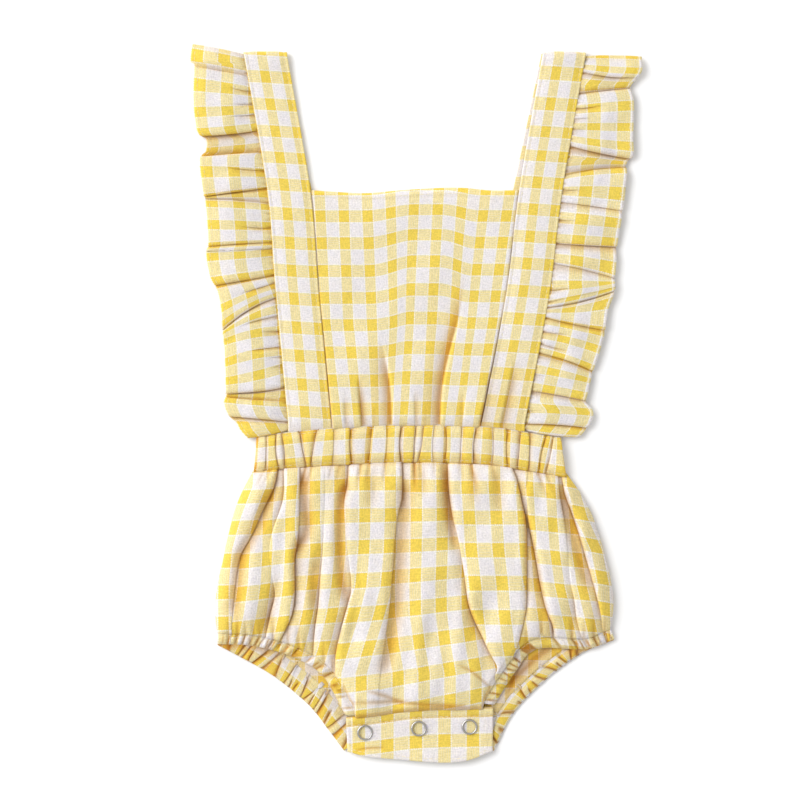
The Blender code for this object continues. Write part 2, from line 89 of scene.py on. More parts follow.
def gingham(name):
    """The check, drawn from the stripe count that each piece carries as its 'weave' map."""
    made = bpy.data.materials.new(name)
    made.use_nodes = True
    nodes, links = made.node_tree.nodes, made.node_tree.links
    shader = nodes["Principled BSDF"]

    def put(socket, value):
        if isinstance(value, bpy.types.NodeSocket):
            links.new(value, socket)
        else:
            socket.default_value = value

    def maths(operation, *values):
        node = nodes.new("ShaderNodeMath")
        node.operation = operation
        for socket, value in zip(node.inputs, values):
            put(socket, value)
        return node.outputs[0]

    def noise(grains_across, grains_along, detail=2.0):
        grains = nodes.new("ShaderNodeVectorMath")
        grains.operation = 'MULTIPLY'
        put(grains.inputs[0], place)
        put(grains.inputs[1], (grains_across, grains_along, 1.0))
        node = nodes.new("ShaderNodeTexNoise")
        put(node.inputs["Vector"], grains.outputs[0])
        put(node.inputs["Scale"], 1.0)
        put(node.inputs["Detail"], detail)
        return node.outputs["Fac"]

    def fitted(value, low, high, to_low, to_high, kind='LINEAR'):
        node = nodes.new("ShaderNodeMapRange")
        node.interpolation_type = kind
        for socket, number in zip(node.inputs, (value, low, high, to_low, to_high)):
            put(socket, number)
        return node.outputs[0]

    def mixed(blend, factor, first, second):
        node = nodes.new("ShaderNodeMix")
        node.data_type = 'RGBA'
        node.blend_type = blend
        put(node.inputs["Factor"], factor)
        put(node.inputs[6], first)
        put(node.inputs[7], second)
        return node.outputs[2]

    count = nodes.new("ShaderNodeUVMap")
    count.uv_map = "weave"
    place = count.outputs[0]
    parts = nodes.new("ShaderNodeSeparateXYZ")
    put(parts.inputs[0], place)
    across, along = parts.outputs[0], parts.outputs[1]

    # thick and thin yarns run both ways
    warp_slub = noise(46.0, 3.0)
    weft_slub = noise(3.0, 52.0)
    stripes, off_centres = [], []
    for number, slub in ((across, weft_slub), (along, warp_slub)):
        wavering = maths('MULTIPLY_ADD', slub, 0.03, maths('SUBTRACT', number, 0.015))
        off_centre = maths('PINGPONG', wavering, 0.5)
        off_centres.append(off_centre)
        stripes.append(fitted(off_centre, *YELLOW_EDGE, 1.0, 0.0, 'SMOOTHSTEP'))
    warp_yellow, weft_yellow = stripes
    yellow = maths('MULTIPLY', maths('ADD', warp_yellow, weft_yellow), 0.5)

    # one yellow yarn and one white yarn show in turn where only one stripe is yellow
    yarns = [maths('SINE', maths('MULTIPLY', number, THREADS * np.pi)) for number in (across, along)]
    only_warp = maths('MULTIPLY', warp_yellow, maths('SUBTRACT', 1.0, weft_yellow))
    only_weft = maths('MULTIPLY', weft_yellow, maths('SUBTRACT', 1.0, warp_yellow))
    lines = maths('ADD', maths('MULTIPLY', yarns[1], only_weft), maths('MULTIPLY', yarns[0], only_warp))
    yellow = maths('MULTIPLY_ADD', lines, 0.07, yellow)

    check = nodes.new("ShaderNodeValToRGB")
    ramp = check.color_ramp
    ramp.elements[0].color = WHITE_CHECK
    ramp.elements[1].color = FULL_CHECK
    pale = ramp.elements.new(0.5)
    pale.color = PALE_CHECK
    put(check.inputs[0], yellow)

    # the first white yarn beside each yellow stripe lies on top and shows as a row of white dots
    dots = []
    for off_centre, other in zip(off_centres, (along, across)):
        off_yarn = maths('ABSOLUTE', maths('SUBTRACT', off_centre, DOTS_AT))
        beside = fitted(off_yarn, 0.010, 0.030, 1.0, 0.0, 'SMOOTHSTEP')
        along_yarn = maths('SINE', maths('MULTIPLY', other, BESIDE_DOTS * np.pi))
        dotted = fitted(along_yarn, -0.6, 0.6, 0.15, 0.85, 'SMOOTHSTEP')
        dots.append(maths('MULTIPLY', beside, dotted))
    woven = mixed('MIX', maths('MAXIMUM', *dots), check.outputs[0], DOTTED_YARN)

    slubs = maths('ADD', warp_slub, weft_slub)
    fleck = noise(15.0, 17.0, 3.0)
    shade = maths('MULTIPLY', fitted(slubs, 0.7, 1.3, 0.85, 1.1), fitted(fleck, 0.35, 0.65, 0.89, 1.07))
    grey = nodes.new("ShaderNodeCombineColor")
    for socket in grey.inputs[:3]:
        put(socket, shade)
    coloured = mixed('MULTIPLY', 1.0, woven, grey.outputs[0])

    # painted shade: the base colour is darkened and warmed by the painted shade that each point carries,
    # standing in for the dim light, bounced off yellow cloth, that reaches the bottom of a crease
    painted_shade = nodes.new("ShaderNodeAttribute")
    painted_shade.attribute_name = "painted_shade"
    shadow = nodes.new("ShaderNodeValToRGB")
    put(shadow.inputs[0], painted_shade.outputs["Fac"])
    shadow.color_ramp.elements[0].color = (1.0, 1.0, 1.0, 1.0)
    shadow.color_ramp.elements[1].color = PAINTED_SHADE_BOTTOM
    slope = shadow.color_ramp.elements.new(0.45)
    slope.color = PAINTED_SHADE_SLOPE
    put(shader.inputs["Base Color"], mixed('MULTIPLY', 1.0, coloured, shadow.outputs[0]))

    over_under = maths('MULTIPLY', *[maths('SINE', maths('MULTIPLY', number, 2 * THREADS * np.pi))
                                     for number in (across, along)])
    relief = maths('MULTIPLY_ADD', over_under, 0.35, slubs)
    crumple = noise(1.7, 1.5, 3.0)
    relief = maths('MULTIPLY_ADD', crumple, 3.0, relief)
    bump = nodes.new("ShaderNodeBump")
    put(bump.inputs["Strength"], 0.5)
    put(bump.inputs["Distance"], WEAVE_RELIEF)
    put(bump.inputs["Height"], relief)
    put(shader.inputs["Normal"], bump.outputs[0])
    put(shader.inputs["Roughness"], 0.92)
    put(shader.inputs["Subsurface Weight"], 0.5)
    put(shader.inputs["Subsurface Radius"], (1.0, 0.88, 0.55))
    put(shader.inputs["Subsurface Scale"], 0.0024)
    put(shader.inputs["Specular IOR Level"], 0.25)
    put(shader.inputs["Sheen Weight"], 0.12)
    put(shader.inputs["Sheen Roughness"], 0.6)
    return made


GINGHAM = gingham("yellow_gingham")


def cloth(name, node, points, weave, wall, painted_shade=0.0):
    """A cut of the cloth in the place of a node. The grid of points is its right side, with rows that run
    down the garment. Weave is the stripe count at each point, and the painted shade at each point, from 0 to
    1, darkens its colour where it lies deep in a crease or in shade."""
    rows, columns = points.shape[:2]
    grid = bmesh.new()
    bmesh.ops.create_grid(grid, x_segments=columns - 1, y_segments=rows - 1, size=1)
    mesh = bpy.data.meshes.new(name)
    grid.to_mesh(mesh)
    grid.free()
    mesh.vertices.foreach_set("co", (points[::-1] * MM).ravel())
    corners = np.empty(len(mesh.loops), dtype=np.int32)
    mesh.loops.foreach_get("vertex_index", corners)
    layer = mesh.uv_layers[0] if mesh.uv_layers else mesh.uv_layers.new()
    layer.name = "weave"
    layer.data.foreach_set("uv", weave[::-1].reshape(-1, 2)[corners].ravel())
    shaded = mesh.attributes.new("painted_shade", 'FLOAT', 'POINT')
    depth = np.broadcast_to(painted_shade, (rows, columns))[::-1]
    shaded.data.foreach_set("value", np.clip(depth, 0, 1).ravel())
    mesh.update()
    mesh.shade_smooth()
    mesh.materials.append(GINGHAM)
    piece = bpy.data.objects.new(name, mesh)
    bpy.context.collection.objects.link(piece)
    thickness = piece.modifiers.new("thickness", 'SOLIDIFY')
    thickness.thickness = wall * MM
    thickness.offset = -1
    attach(piece, "root")
    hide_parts(node)
    return piece


# A sewn line is a row of short stitches in thread of the cloth's own colour.
THREAD_COLOURS = [(0.80, 0.70, 0.42, 1.0), (0.84, 0.76, 0.55, 1.0)]
STITCH_LENGTH = 2.4
STITCH_GAP = 0.9
THREAD_RADIUS = 0.13
THREAD_SIDES = 6
THREAD_PROUD = 0.04         # the middle of the thread stands this far over the cloth
STITCH_TAPER = np.array([0.35, 1.0, 1.0, 0.35])     # of the radius, from end to end


def sewing_thread():
    made = bpy.data.materials.new("thread")
    made.use_nodes = True
    nodes, links = made.node_tree.nodes, made.node_tree.links
    shader = nodes["Principled BSDF"]
    twist = nodes.new("ShaderNodeTexNoise")
    twist.inputs["Scale"].default_value = 1500.0
    shade = nodes.new("ShaderNodeValToRGB")
    for element, colour in zip(shade.color_ramp.elements, THREAD_COLOURS):
        element.color = colour
    links.new(twist.outputs["Fac"], shade.inputs[0])
    links.new(shade.outputs[0], shader.inputs["Base Color"])
    shader.inputs["Roughness"].default_value = 0.8
    return made


THREAD = sewing_thread()


def stitching(name, node, lines):
    """Rows of stitches along lines of points that lie on the cloth, half sunk into it."""
    around = np.linspace(0, 2 * np.pi, THREAD_SIDES, endpoint=False)
    stations = np.linspace(0, STITCH_LENGTH, len(STITCH_TAPER))
    widths = THREAD_RADIUS * STITCH_TAPER
    corners, faces = [], []
    for line in lines:
        length = run_of(line)
        for start in np.arange(STITCH_GAP, length[-1] - STITCH_LENGTH, STITCH_LENGTH + STITCH_GAP):
            middle = np.column_stack([np.interp(start + stations, length, places) for places in line.T])
            run = middle[-1] - middle[0]
            aside = np.array([-run[1], run[0], 0.0]) / max(np.hypot(run[0], run[1]), 1e-6)
            over = np.cross(run / np.linalg.norm(run), aside)
            first = len(corners) * THREAD_SIDES * len(stations)
            ring = np.cos(around)[:, None] * aside + np.sin(around)[:, None] * over
            corners.append(middle[:, None] + widths[:, None, None] * ring + [0, 0, THREAD_PROUD])
            for step in range(len(stations) - 1):
                for turn in range(THREAD_SIDES):
                    here = first + THREAD_SIDES * step + turn
                    there = first + THREAD_SIDES * step + (turn + 1) % THREAD_SIDES
                    faces.append((here, there, there + THREAD_SIDES, here + THREAD_SIDES))
            last = first + THREAD_SIDES * (len(stations) - 1)
            faces.append(tuple(range(first + THREAD_SIDES - 1, first - 1, -1)))
            faces.append(tuple(range(last, last + THREAD_SIDES)))
    mesh = bpy.data.meshes.new(name)
    mesh.from_pydata(np.array(corners).reshape(-1, 3) * MM, [], faces)
    mesh.shade_smooth()
    mesh.materials.append(THREAD)
    piece = bpy.data.objects.new(name, mesh)
    bpy.context.collection.objects.link(piece)
    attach(piece, "root")
    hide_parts(node)
    return piece


def smooth(points):
    """A dense smooth curve through the points, in as many columns as they have."""
    knots = np.array(points, dtype=float)
    ends = np.vstack([2 * knots[0] - knots[1], knots, 2 * knots[-1] - knots[-2]])
    step = np.linspace(0, 1, 20, endpoint=False)[:, None]
    spans = []
    for before, start, end, after in zip(ends, ends[1:], ends[2:], ends[3:]):
        linear = (end - before) * step
        square = (2 * before - 5 * start + 4 * end - after) * step ** 2
        cube = (3 * start - before - 3 * end + after) * step ** 3
        spans.append(start + 0.5 * (linear + square + cube))
    return np.vstack(spans + [knots[-1:]])


def run_of(line):
    """How far along a line each of its points is."""
    return added_up(np.linalg.norm(np.diff(line, axis=0), axis=1))


def added_up(steps):
    """The places that steps lead to, from 0."""
    return np.concatenate([[0], np.cumsum(steps)])


def where(curve, axis, values):
    """The points of a dense curve whose x (axis 0) or y (axis 1) has the given values."""
    order = np.argsort(curve[:, axis])
    other = np.interp(values, curve[order, axis], curve[order, 1 - axis])
    return np.stack([values, other] if axis == 0 else [other, values], axis=-1)


def patch(top, bottom, left, right, columns=None, down=None):
    """A grid of x, y filled in from its four edges, with rows that run down the garment."""
    u = (np.linspace(0, 1, len(top)) if columns is None else columns)[None, :, None]
    v = (np.linspace(0, 1, len(left)) if down is None else down)[:, None, None]
    ruled = (1 - v) * top[None] + v * bottom[None] + (1 - u) * left[:, None] + u * right[:, None]
    corners = ((1 - u) * (1 - v) * top[0] + u * (1 - v) * top[-1]
               + (1 - u) * v * bottom[0] + u * v * bottom[-1])
    return ruled - corners


def ease(value):
    """0 below 0, 1 above 1, and smooth between."""
    value = np.clip(value, 0, 1)
    return value * value * (3 - 2 * value)


def raised(grid, height):
    """The x, y, z grid of an x, y grid and its heights."""
    return np.dstack([grid, np.broadcast_to(height, grid.shape[:2])])


def counted(across, down):
    """The stripe counts of a grid, from those across it and those down it."""
    return np.stack(np.broadcast_arrays(across, down), axis=-1)


def stripes_at(places, centres):
    """The stripe number at each place, from the places of the stripes' middles in order."""
    centres = np.asarray(centres, dtype=float)
    more = np.arange(1, 9)
    before = centres[0] - (centres[1] - centres[0]) * more[::-1]
    after = centres[-1] + (centres[-1] - centres[-2]) * more
    known = np.concatenate([before, centres, after])
    return np.interp(places, known, np.arange(len(known)) - len(more))


def slack(grid, seed, height, short=16.0, long=55.0):
    """The faint unevenness of cloth that lies loose, as a height over an x, y grid."""
    draw = np.random.default_rng(seed)
    total = np.zeros(grid.shape[:2])
    for _ in range(14):
        turn, phase = draw.uniform(0, 2 * np.pi, 2)
        wave = draw.uniform(short, long)
        across = grid[..., 0] * np.cos(turn) + grid[..., 1] * np.sin(turn)
        total += np.sin(2 * np.pi * across / wave + phase) * wave / long
    return height * total / 3.0


def line_on(points, column):
    """A line down a grid of points at a fractional column, which may differ from row to row."""
    column = np.broadcast_to(np.asarray(column, dtype=float), len(points))
    low = np.clip(column.astype(int), 0, points.shape[1] - 2)
    share = (column - low)[:, None]
    rows = np.arange(len(points))
    return points[rows, low] * (1 - share) + points[rows, low + 1] * share


def line_across(points, row):
    """A line across a grid of points at a fractional row, which may differ from column to column."""
    return line_on(points.transpose(1, 0, 2), row)


# A pleat runs down its route. Its high side stands over the crease, and on the low side the
# cloth rises away from it slowly, over its spread. It fades in over its start.
Pleat = namedtuple("Pleat", "high_side depth spread start route")
BIB_PLEATS = [
    Pleat("right", 2.4, 8.0, 26.0, [(-22.0, 42.0), (-18.3, 24.0), (-16.4, 12.0), (-15.6, 0.0),
                                    (-15.3, -14.0)]),
    Pleat("left", 2.2, 5.0, 24.0, [(-35.5, 24.0), (-34.5, 12.0), (-33.4, 0.0), (-32.2, -14.0)]),
    Pleat("left", 1.2, 4.0, 12.0, [(-0.9, 12.0), (-0.3, -14.0)]),
    Pleat("right", 2.6, 8.0, 45.0, [(29.7, 84.0), (24.9, 56.0), (21.0, 39.9), (16.5, 20.7), (14.4, 6.9),
                                    (13.5, -14.0)]),
    Pleat("left", 1.5, 5.0, 16.0, [(44.1, 24.0), (42.0, 6.0), (37.0, -14.0)]),
    Pleat("right", 1.0, 4.0, 9.0, [(28.0, 10.0), (27.0, -14.0)]),
    Pleat("left", 1.0, 4.0, 9.0, [(-43.0, 8.0), (-42.0, -14.0)]),
    Pleat("right", 0.8, 3.0, 8.0, [(5.8, 3.0), (5.2, -14.0)]),
    Pleat("left", 0.8, 3.0, 7.0, [(-25.5, 2.0), (-26.0, -14.0)])]


def beside(grid, route_x, route_y):
    """How far each point of an x, y grid lies to the right of a route that runs up it."""
    middle = np.interp(grid[..., 1], route_y, route_x)
    slant = np.interp(grid[..., 1], route_y, np.gradient(route_x, route_y))
    return (grid[..., 0] - middle) / np.hypot(1, slant)


def sunk(grid, pleats):
    """How far the pleats sink each point of an x, y grid, and how near it lies to one's crease, which sets
    the painted shade along the crease.
    """
    total, near = np.zeros(grid.shape[:2]), np.zeros(grid.shape[:2])
    for pleat in pleats:
        route = smooth(pleat.route)
        x, y = route[np.argsort(route[:, 1])].T
        aside = beside(grid, x, y)
        low_side = aside if pleat.high_side == "left" else -aside
        slow_rise = np.exp(-(np.abs(low_side) / pleat.spread) ** 1.2)
        fall = np.where(low_side > 0, slow_rise, np.exp(-np.abs(low_side) ** 2))
        fade = ease((y[-1] - grid[..., 1]) / pleat.start) * ease(grid[..., 1] - y[0])
        total = (total ** 3 + (pleat.depth * fade * fall) ** 3) ** (1 / 3)
        shadow = np.exp(-(low_side / np.where(low_side > 0, 0.5 * pleat.spread, 0.7)) ** 2)
        near = np.maximum(near, min(pleat.depth / 2.2, 1) * fade * shadow)
    return total, near


def seam_dip(distance, depth=0.35, width=0.9):
    """The groove that a line of topstitching pulls into the cloth."""
    return depth * np.exp(-(distance / width) ** 2)


def drawn_in(height, from_waist, low, least, rest):
    """The heights of cloth that the waistband's seam draws down to low. Above it a share of the rise
    comes at once, and the rest over 5 mm."""
    return low + (height - low) * (least + rest * ease(from_waist / 5.0)) * ease((from_waist + 1.2) / 2.2)


def bib():
    rows, columns = BIB_GRID
    down = np.linspace(BIB_TOP[0][1], WAIST_TOP[0][1] + 5.0, rows)
    edge_left = where(smooth(STRAP_INNER["left"]), 1, down)
    edge_right = where(smooth(STRAP_INNER["right"]), 1, down)
    left, right = edge_left - [UNDERLAP, 0], edge_right + [UNDERLAP, 0]
    across = np.linspace(left[-1, 0], right[-1, 0], columns)
    bottom = where(smooth(WAIST_TOP), 0, across) - [0, UNDERLAP]
    top = where(smooth(BIB_TOP), 0, np.linspace(left[0, 0], right[0, 0], columns))
    left[-1], right[-1] = bottom[0], bottom[-1]
    grid = patch(top, bottom, left, right)
    x, y = grid[..., 0], grid[..., 1]
    from_top = top[:, 1] - y
    from_strap = np.minimum(x - edge_left[:, :1], edge_right[:, :1] - x)
    from_waist = y - bottom[:, 1] - UNDERLAP
    puff = BIB_PUFF * ease((75.0 - y) / 85.0) + slack(grid, 3, 0.5)
    sink, near = sunk(grid, BIB_PLEATS)
    turned = 0.5 * (1 - ease((from_top - TOP_HEM) / 0.7)) - seam_dip(from_top - TOP_STITCH)
    height = FRONT_TOP + 0.2 + np.maximum(puff - sink, -0.2) + turned - 0.7 * ease(1 - from_top / 0.9)
    height = BIB_UNDER_STRAP + (height - BIB_UNDER_STRAP) * ease((from_strap + 0.3) / 1.3)
    points = raised(grid, drawn_in(height, from_waist, BIB_UNDER_BAND, 0.55, 0.45))

    upper, lower = np.clip((y - 50.0) / 64.0, 0, 1.3), np.clip((50.0 - y) / 51.0, 0, 1.3)
    stripe = (stripes_at(x, BIB_STRIPES_TOP) * upper + stripes_at(x, BIB_STRIPES_WAIST) * lower
              + stripes_at(x, BIB_STRIPES_MIDDLE) * (1 - upper - lower))
    rows_left, rows_middle, rows_right = [stripes_at(-y, -np.array(places))
                                          for places in (BIB_ROWS_LEFT, BIB_ROWS_MIDDLE, BIB_ROWS_RIGHT)]
    leftward, rightward = ease((4.1 - stripe) / 2.2), ease((stripe - 5.2) / 1.6)
    row = rows_middle + (rows_left - rows_middle) * leftward + (rows_right - rows_middle) * rightward
    # Painted shade: deeper in the pleats and along their creases, and a painted shadow beside each strap's
    # seam that grows wider towards the waist.
    painted_strap_shadow = (0.5 + 0.4 * ease((60.0 - y) / 60.0)) * seam_dip(from_strap, 1.0, 0.8)
    painted_shade = 0.25 * (sink / 2.6) ** 1.2 + 0.62 * near + painted_strap_shadow
    piece = cloth("bib", "bib_front", points, counted(stripe, row), CLOTH_WALL, painted_shade)
    neck = stitching("bib_stitches", "bib_front", [line_across(points[:, 6:-6], TOP_STITCH_ROW)])


bib()

# ------------------------------------------------------------------------------ the straps
# Each strap is a doubled band of gingham, topstitched along both edges. It runs up the front beside
# the bib, folds over the shoulder and comes down the back to the waistband.
STRAP_WIDTH = 26.0
SHOULDER_Y = 210.6          # where the front begins to turn over to the back
BACK_TOP = 0.6              # the back of the strap lies on the table
STRAP_UNDER_BAND = 2.3      # and its front is as high as this in the waistband's seam
SEAM_GAP = 0.3              # between back pieces whose edges meet
STRAP_BACK = {"left": (-77.7, -36.0), "right": (74.7, 27.0)}    # inner edge at the shoulder and the waist
STRAP_EDGE_STITCH = 2.0     # from both edges
STRAP_COLUMNS = 36
FRONT_ROWS = 190
BACK_ROWS = 50
SHOULDER_STEPS = 14
Check = namedtuple("Check", "stripe spacing rows")
STRAP_CHECK = {
    # the middle of a yellow stripe from the inner edge, the spacing, and the rows down the strap
    "left": Check(15.3, 13.2, [197.4, 180.9, 164.7, 149.1, 132.9, 115.2, 97.8, 81.3, 64.5, 47.1, 30.3, 12.9,
                               -3.3]),
    "right": Check(10.0, 13.2, [199.5, 180.9, 164.1, 150.3, 134.1, 117.9, 101.7, 85.5, 69.0, 52.5, 36.0, 19.5,
                                3.0])}
STRAP_PLEATS = {"left": [], "right": [
    Pleat("left", 2.0, 6.0, 20.0, [(60.0, 32.0), (54.9, 6.0), (50.0, -16.0)])]}


def other_way(*grids):
    """Grids with their columns in the other order, which turns the right side of the cloth up."""
    return [grid[:, ::-1] for grid in grids]


def strap(side):
    outward = -1 if side == "left" else 1
    top_edge = smooth(WAIST_TOP)
    columns = np.linspace(0, 1, STRAP_COLUMNS)
    width = np.stack([outward * STRAP_WIDTH * columns, 0 * columns], axis=-1)
    front_y = np.linspace(WAIST_TOP[0][1], SHOULDER_Y, FRONT_ROWS)
    inner = where(smooth(STRAP_INNER[side]), 1, front_y)
    front = inner[:, None] + width[None]
    top_x, waist_x = STRAP_BACK[side]
    back_inner = np.linspace([top_x, SHOULDER_Y], [waist_x, front_y[0]], BACK_ROWS)
    back = back_inner[:, None] + width[None]
    front[0] = where(top_edge, 0, front[0, :, 0]) - [0, UNDERLAP]
    back[-1] = where(top_edge, 0, back[-1, :, 0]) + [0, SEAM_GAP]

    from_edge = STRAP_WIDTH * np.minimum(columns, 1 - columns)
    stitch = from_edge - STRAP_EDGE_STITCH
    shape = 0.5 * ease((from_edge + 0.3) / 1.0) - seam_dip(stitch, 0.35) - seam_dip(stitch, 0.15, 2.0)
    shape = shape + 0.35 * ease((from_edge - 3.0) / 4.0)
    pucker = 0.14 * np.sin(2 * np.pi * front_y / 5.3)[:, None] * seam_dip(stitch, 1.0, 3.5)
    lift = 1.4 * ease((front_y - SHOULDER_Y + 14.0) / 14.0)[:, None]
    from_waist = front[..., 1] - where(top_edge, 0, front[..., 0])[..., 1]
    low = 1.2 * ease((60.0 - front_y) / 60.0)[:, None]
    sink, near = sunk(front, STRAP_PLEATS[side])
    height = FRONT_TOP + 0.1 + shape + pucker + lift + np.maximum(low - sink, -0.4) + slack(front, 5, 0.3)
    front = raised(front, drawn_in(height, from_waist, STRAP_UNDER_BAND, 0.5, 0.5))
    back = raised(back, BACK_TOP)
    turn = []
    radius = (front[-1, :, 2] - back[0, :, 2]) / 2
    for angle in np.radians(np.linspace(0, 180, SHOULDER_STEPS)[1:-1]):
        row = front[-1] + (back[0] - front[-1]) * (1 - np.cos(angle)) / 2
        row[:, 1] += radius * np.sin(angle)
        turn.append(row)
    points = np.concatenate([front, np.array(turn), back])
    check = STRAP_CHECK[side]
    run = run_of(points[:, 0])
    row_run = np.interp(check.rows[::-1], front_y, run[:FRONT_ROWS])
    tilt = 0.06 * STRAP_WIDTH * (columns - 0.5) * -outward
    number = stripes_at(run[:, None] - tilt, row_run)
    weave = counted(outward * (STRAP_WIDTH * columns - check.stripe) / check.spacing, -number)
    # Painted shade: in the strap's pleat, a painted shadow beside the bib along the right strap's lower inner
    # edge, and a faint even painted shade over the back of the strap.
    painted_shade = np.zeros(points.shape[:2])
    painted_shade[:FRONT_ROWS] = 0.30 * sink / 2.0 + 0.3 * near
    if side == "right":
        painted_bib_shadow = np.exp(-STRAP_WIDTH * columns / 5.0)
        painted_shade[:FRONT_ROWS] += 0.5 * ease((45.0 - front_y) / 55.0)[:, None] * painted_bib_shadow
    painted_shade[FRONT_ROWS:] = 0.08
    edge_lines = [line_on(points[6:FRONT_ROWS + 13], (STRAP_COLUMNS - 1) * share)
                  for share in (STRAP_EDGE_STITCH / STRAP_WIDTH, 1 - STRAP_EDGE_STITCH / STRAP_WIDTH)]
    stitches = stitching("strap_stitches_" + side, "strap_" + side, edge_lines)
    if side == "left":
        points, weave, painted_shade = other_way(points, weave, painted_shade)
    piece = cloth("strap_cloth_" + side, "strap_" + side, points[::-1], weave[::-1], CLOTH_WALL, painted_shade[::-1])


for strap_side in ("left", "right"):
    strap(strap_side)

# ------------------------------------------------------------------------------ the ruffles
# A strip of gingham more than half as long again as the strap's outer edge, which it is gathered
# into. Its free edge has a narrow rolled hem. Some folds reach the hem, and the rest fade out.
# The outline is the hem from top to bottom. The last yellow stripe lies so far from the hem, the others
# follow at the spacing, and the rows run down the ruffle.
Ruffle = namedtuple("Ruffle", "outline last_stripe spacing rows creases")
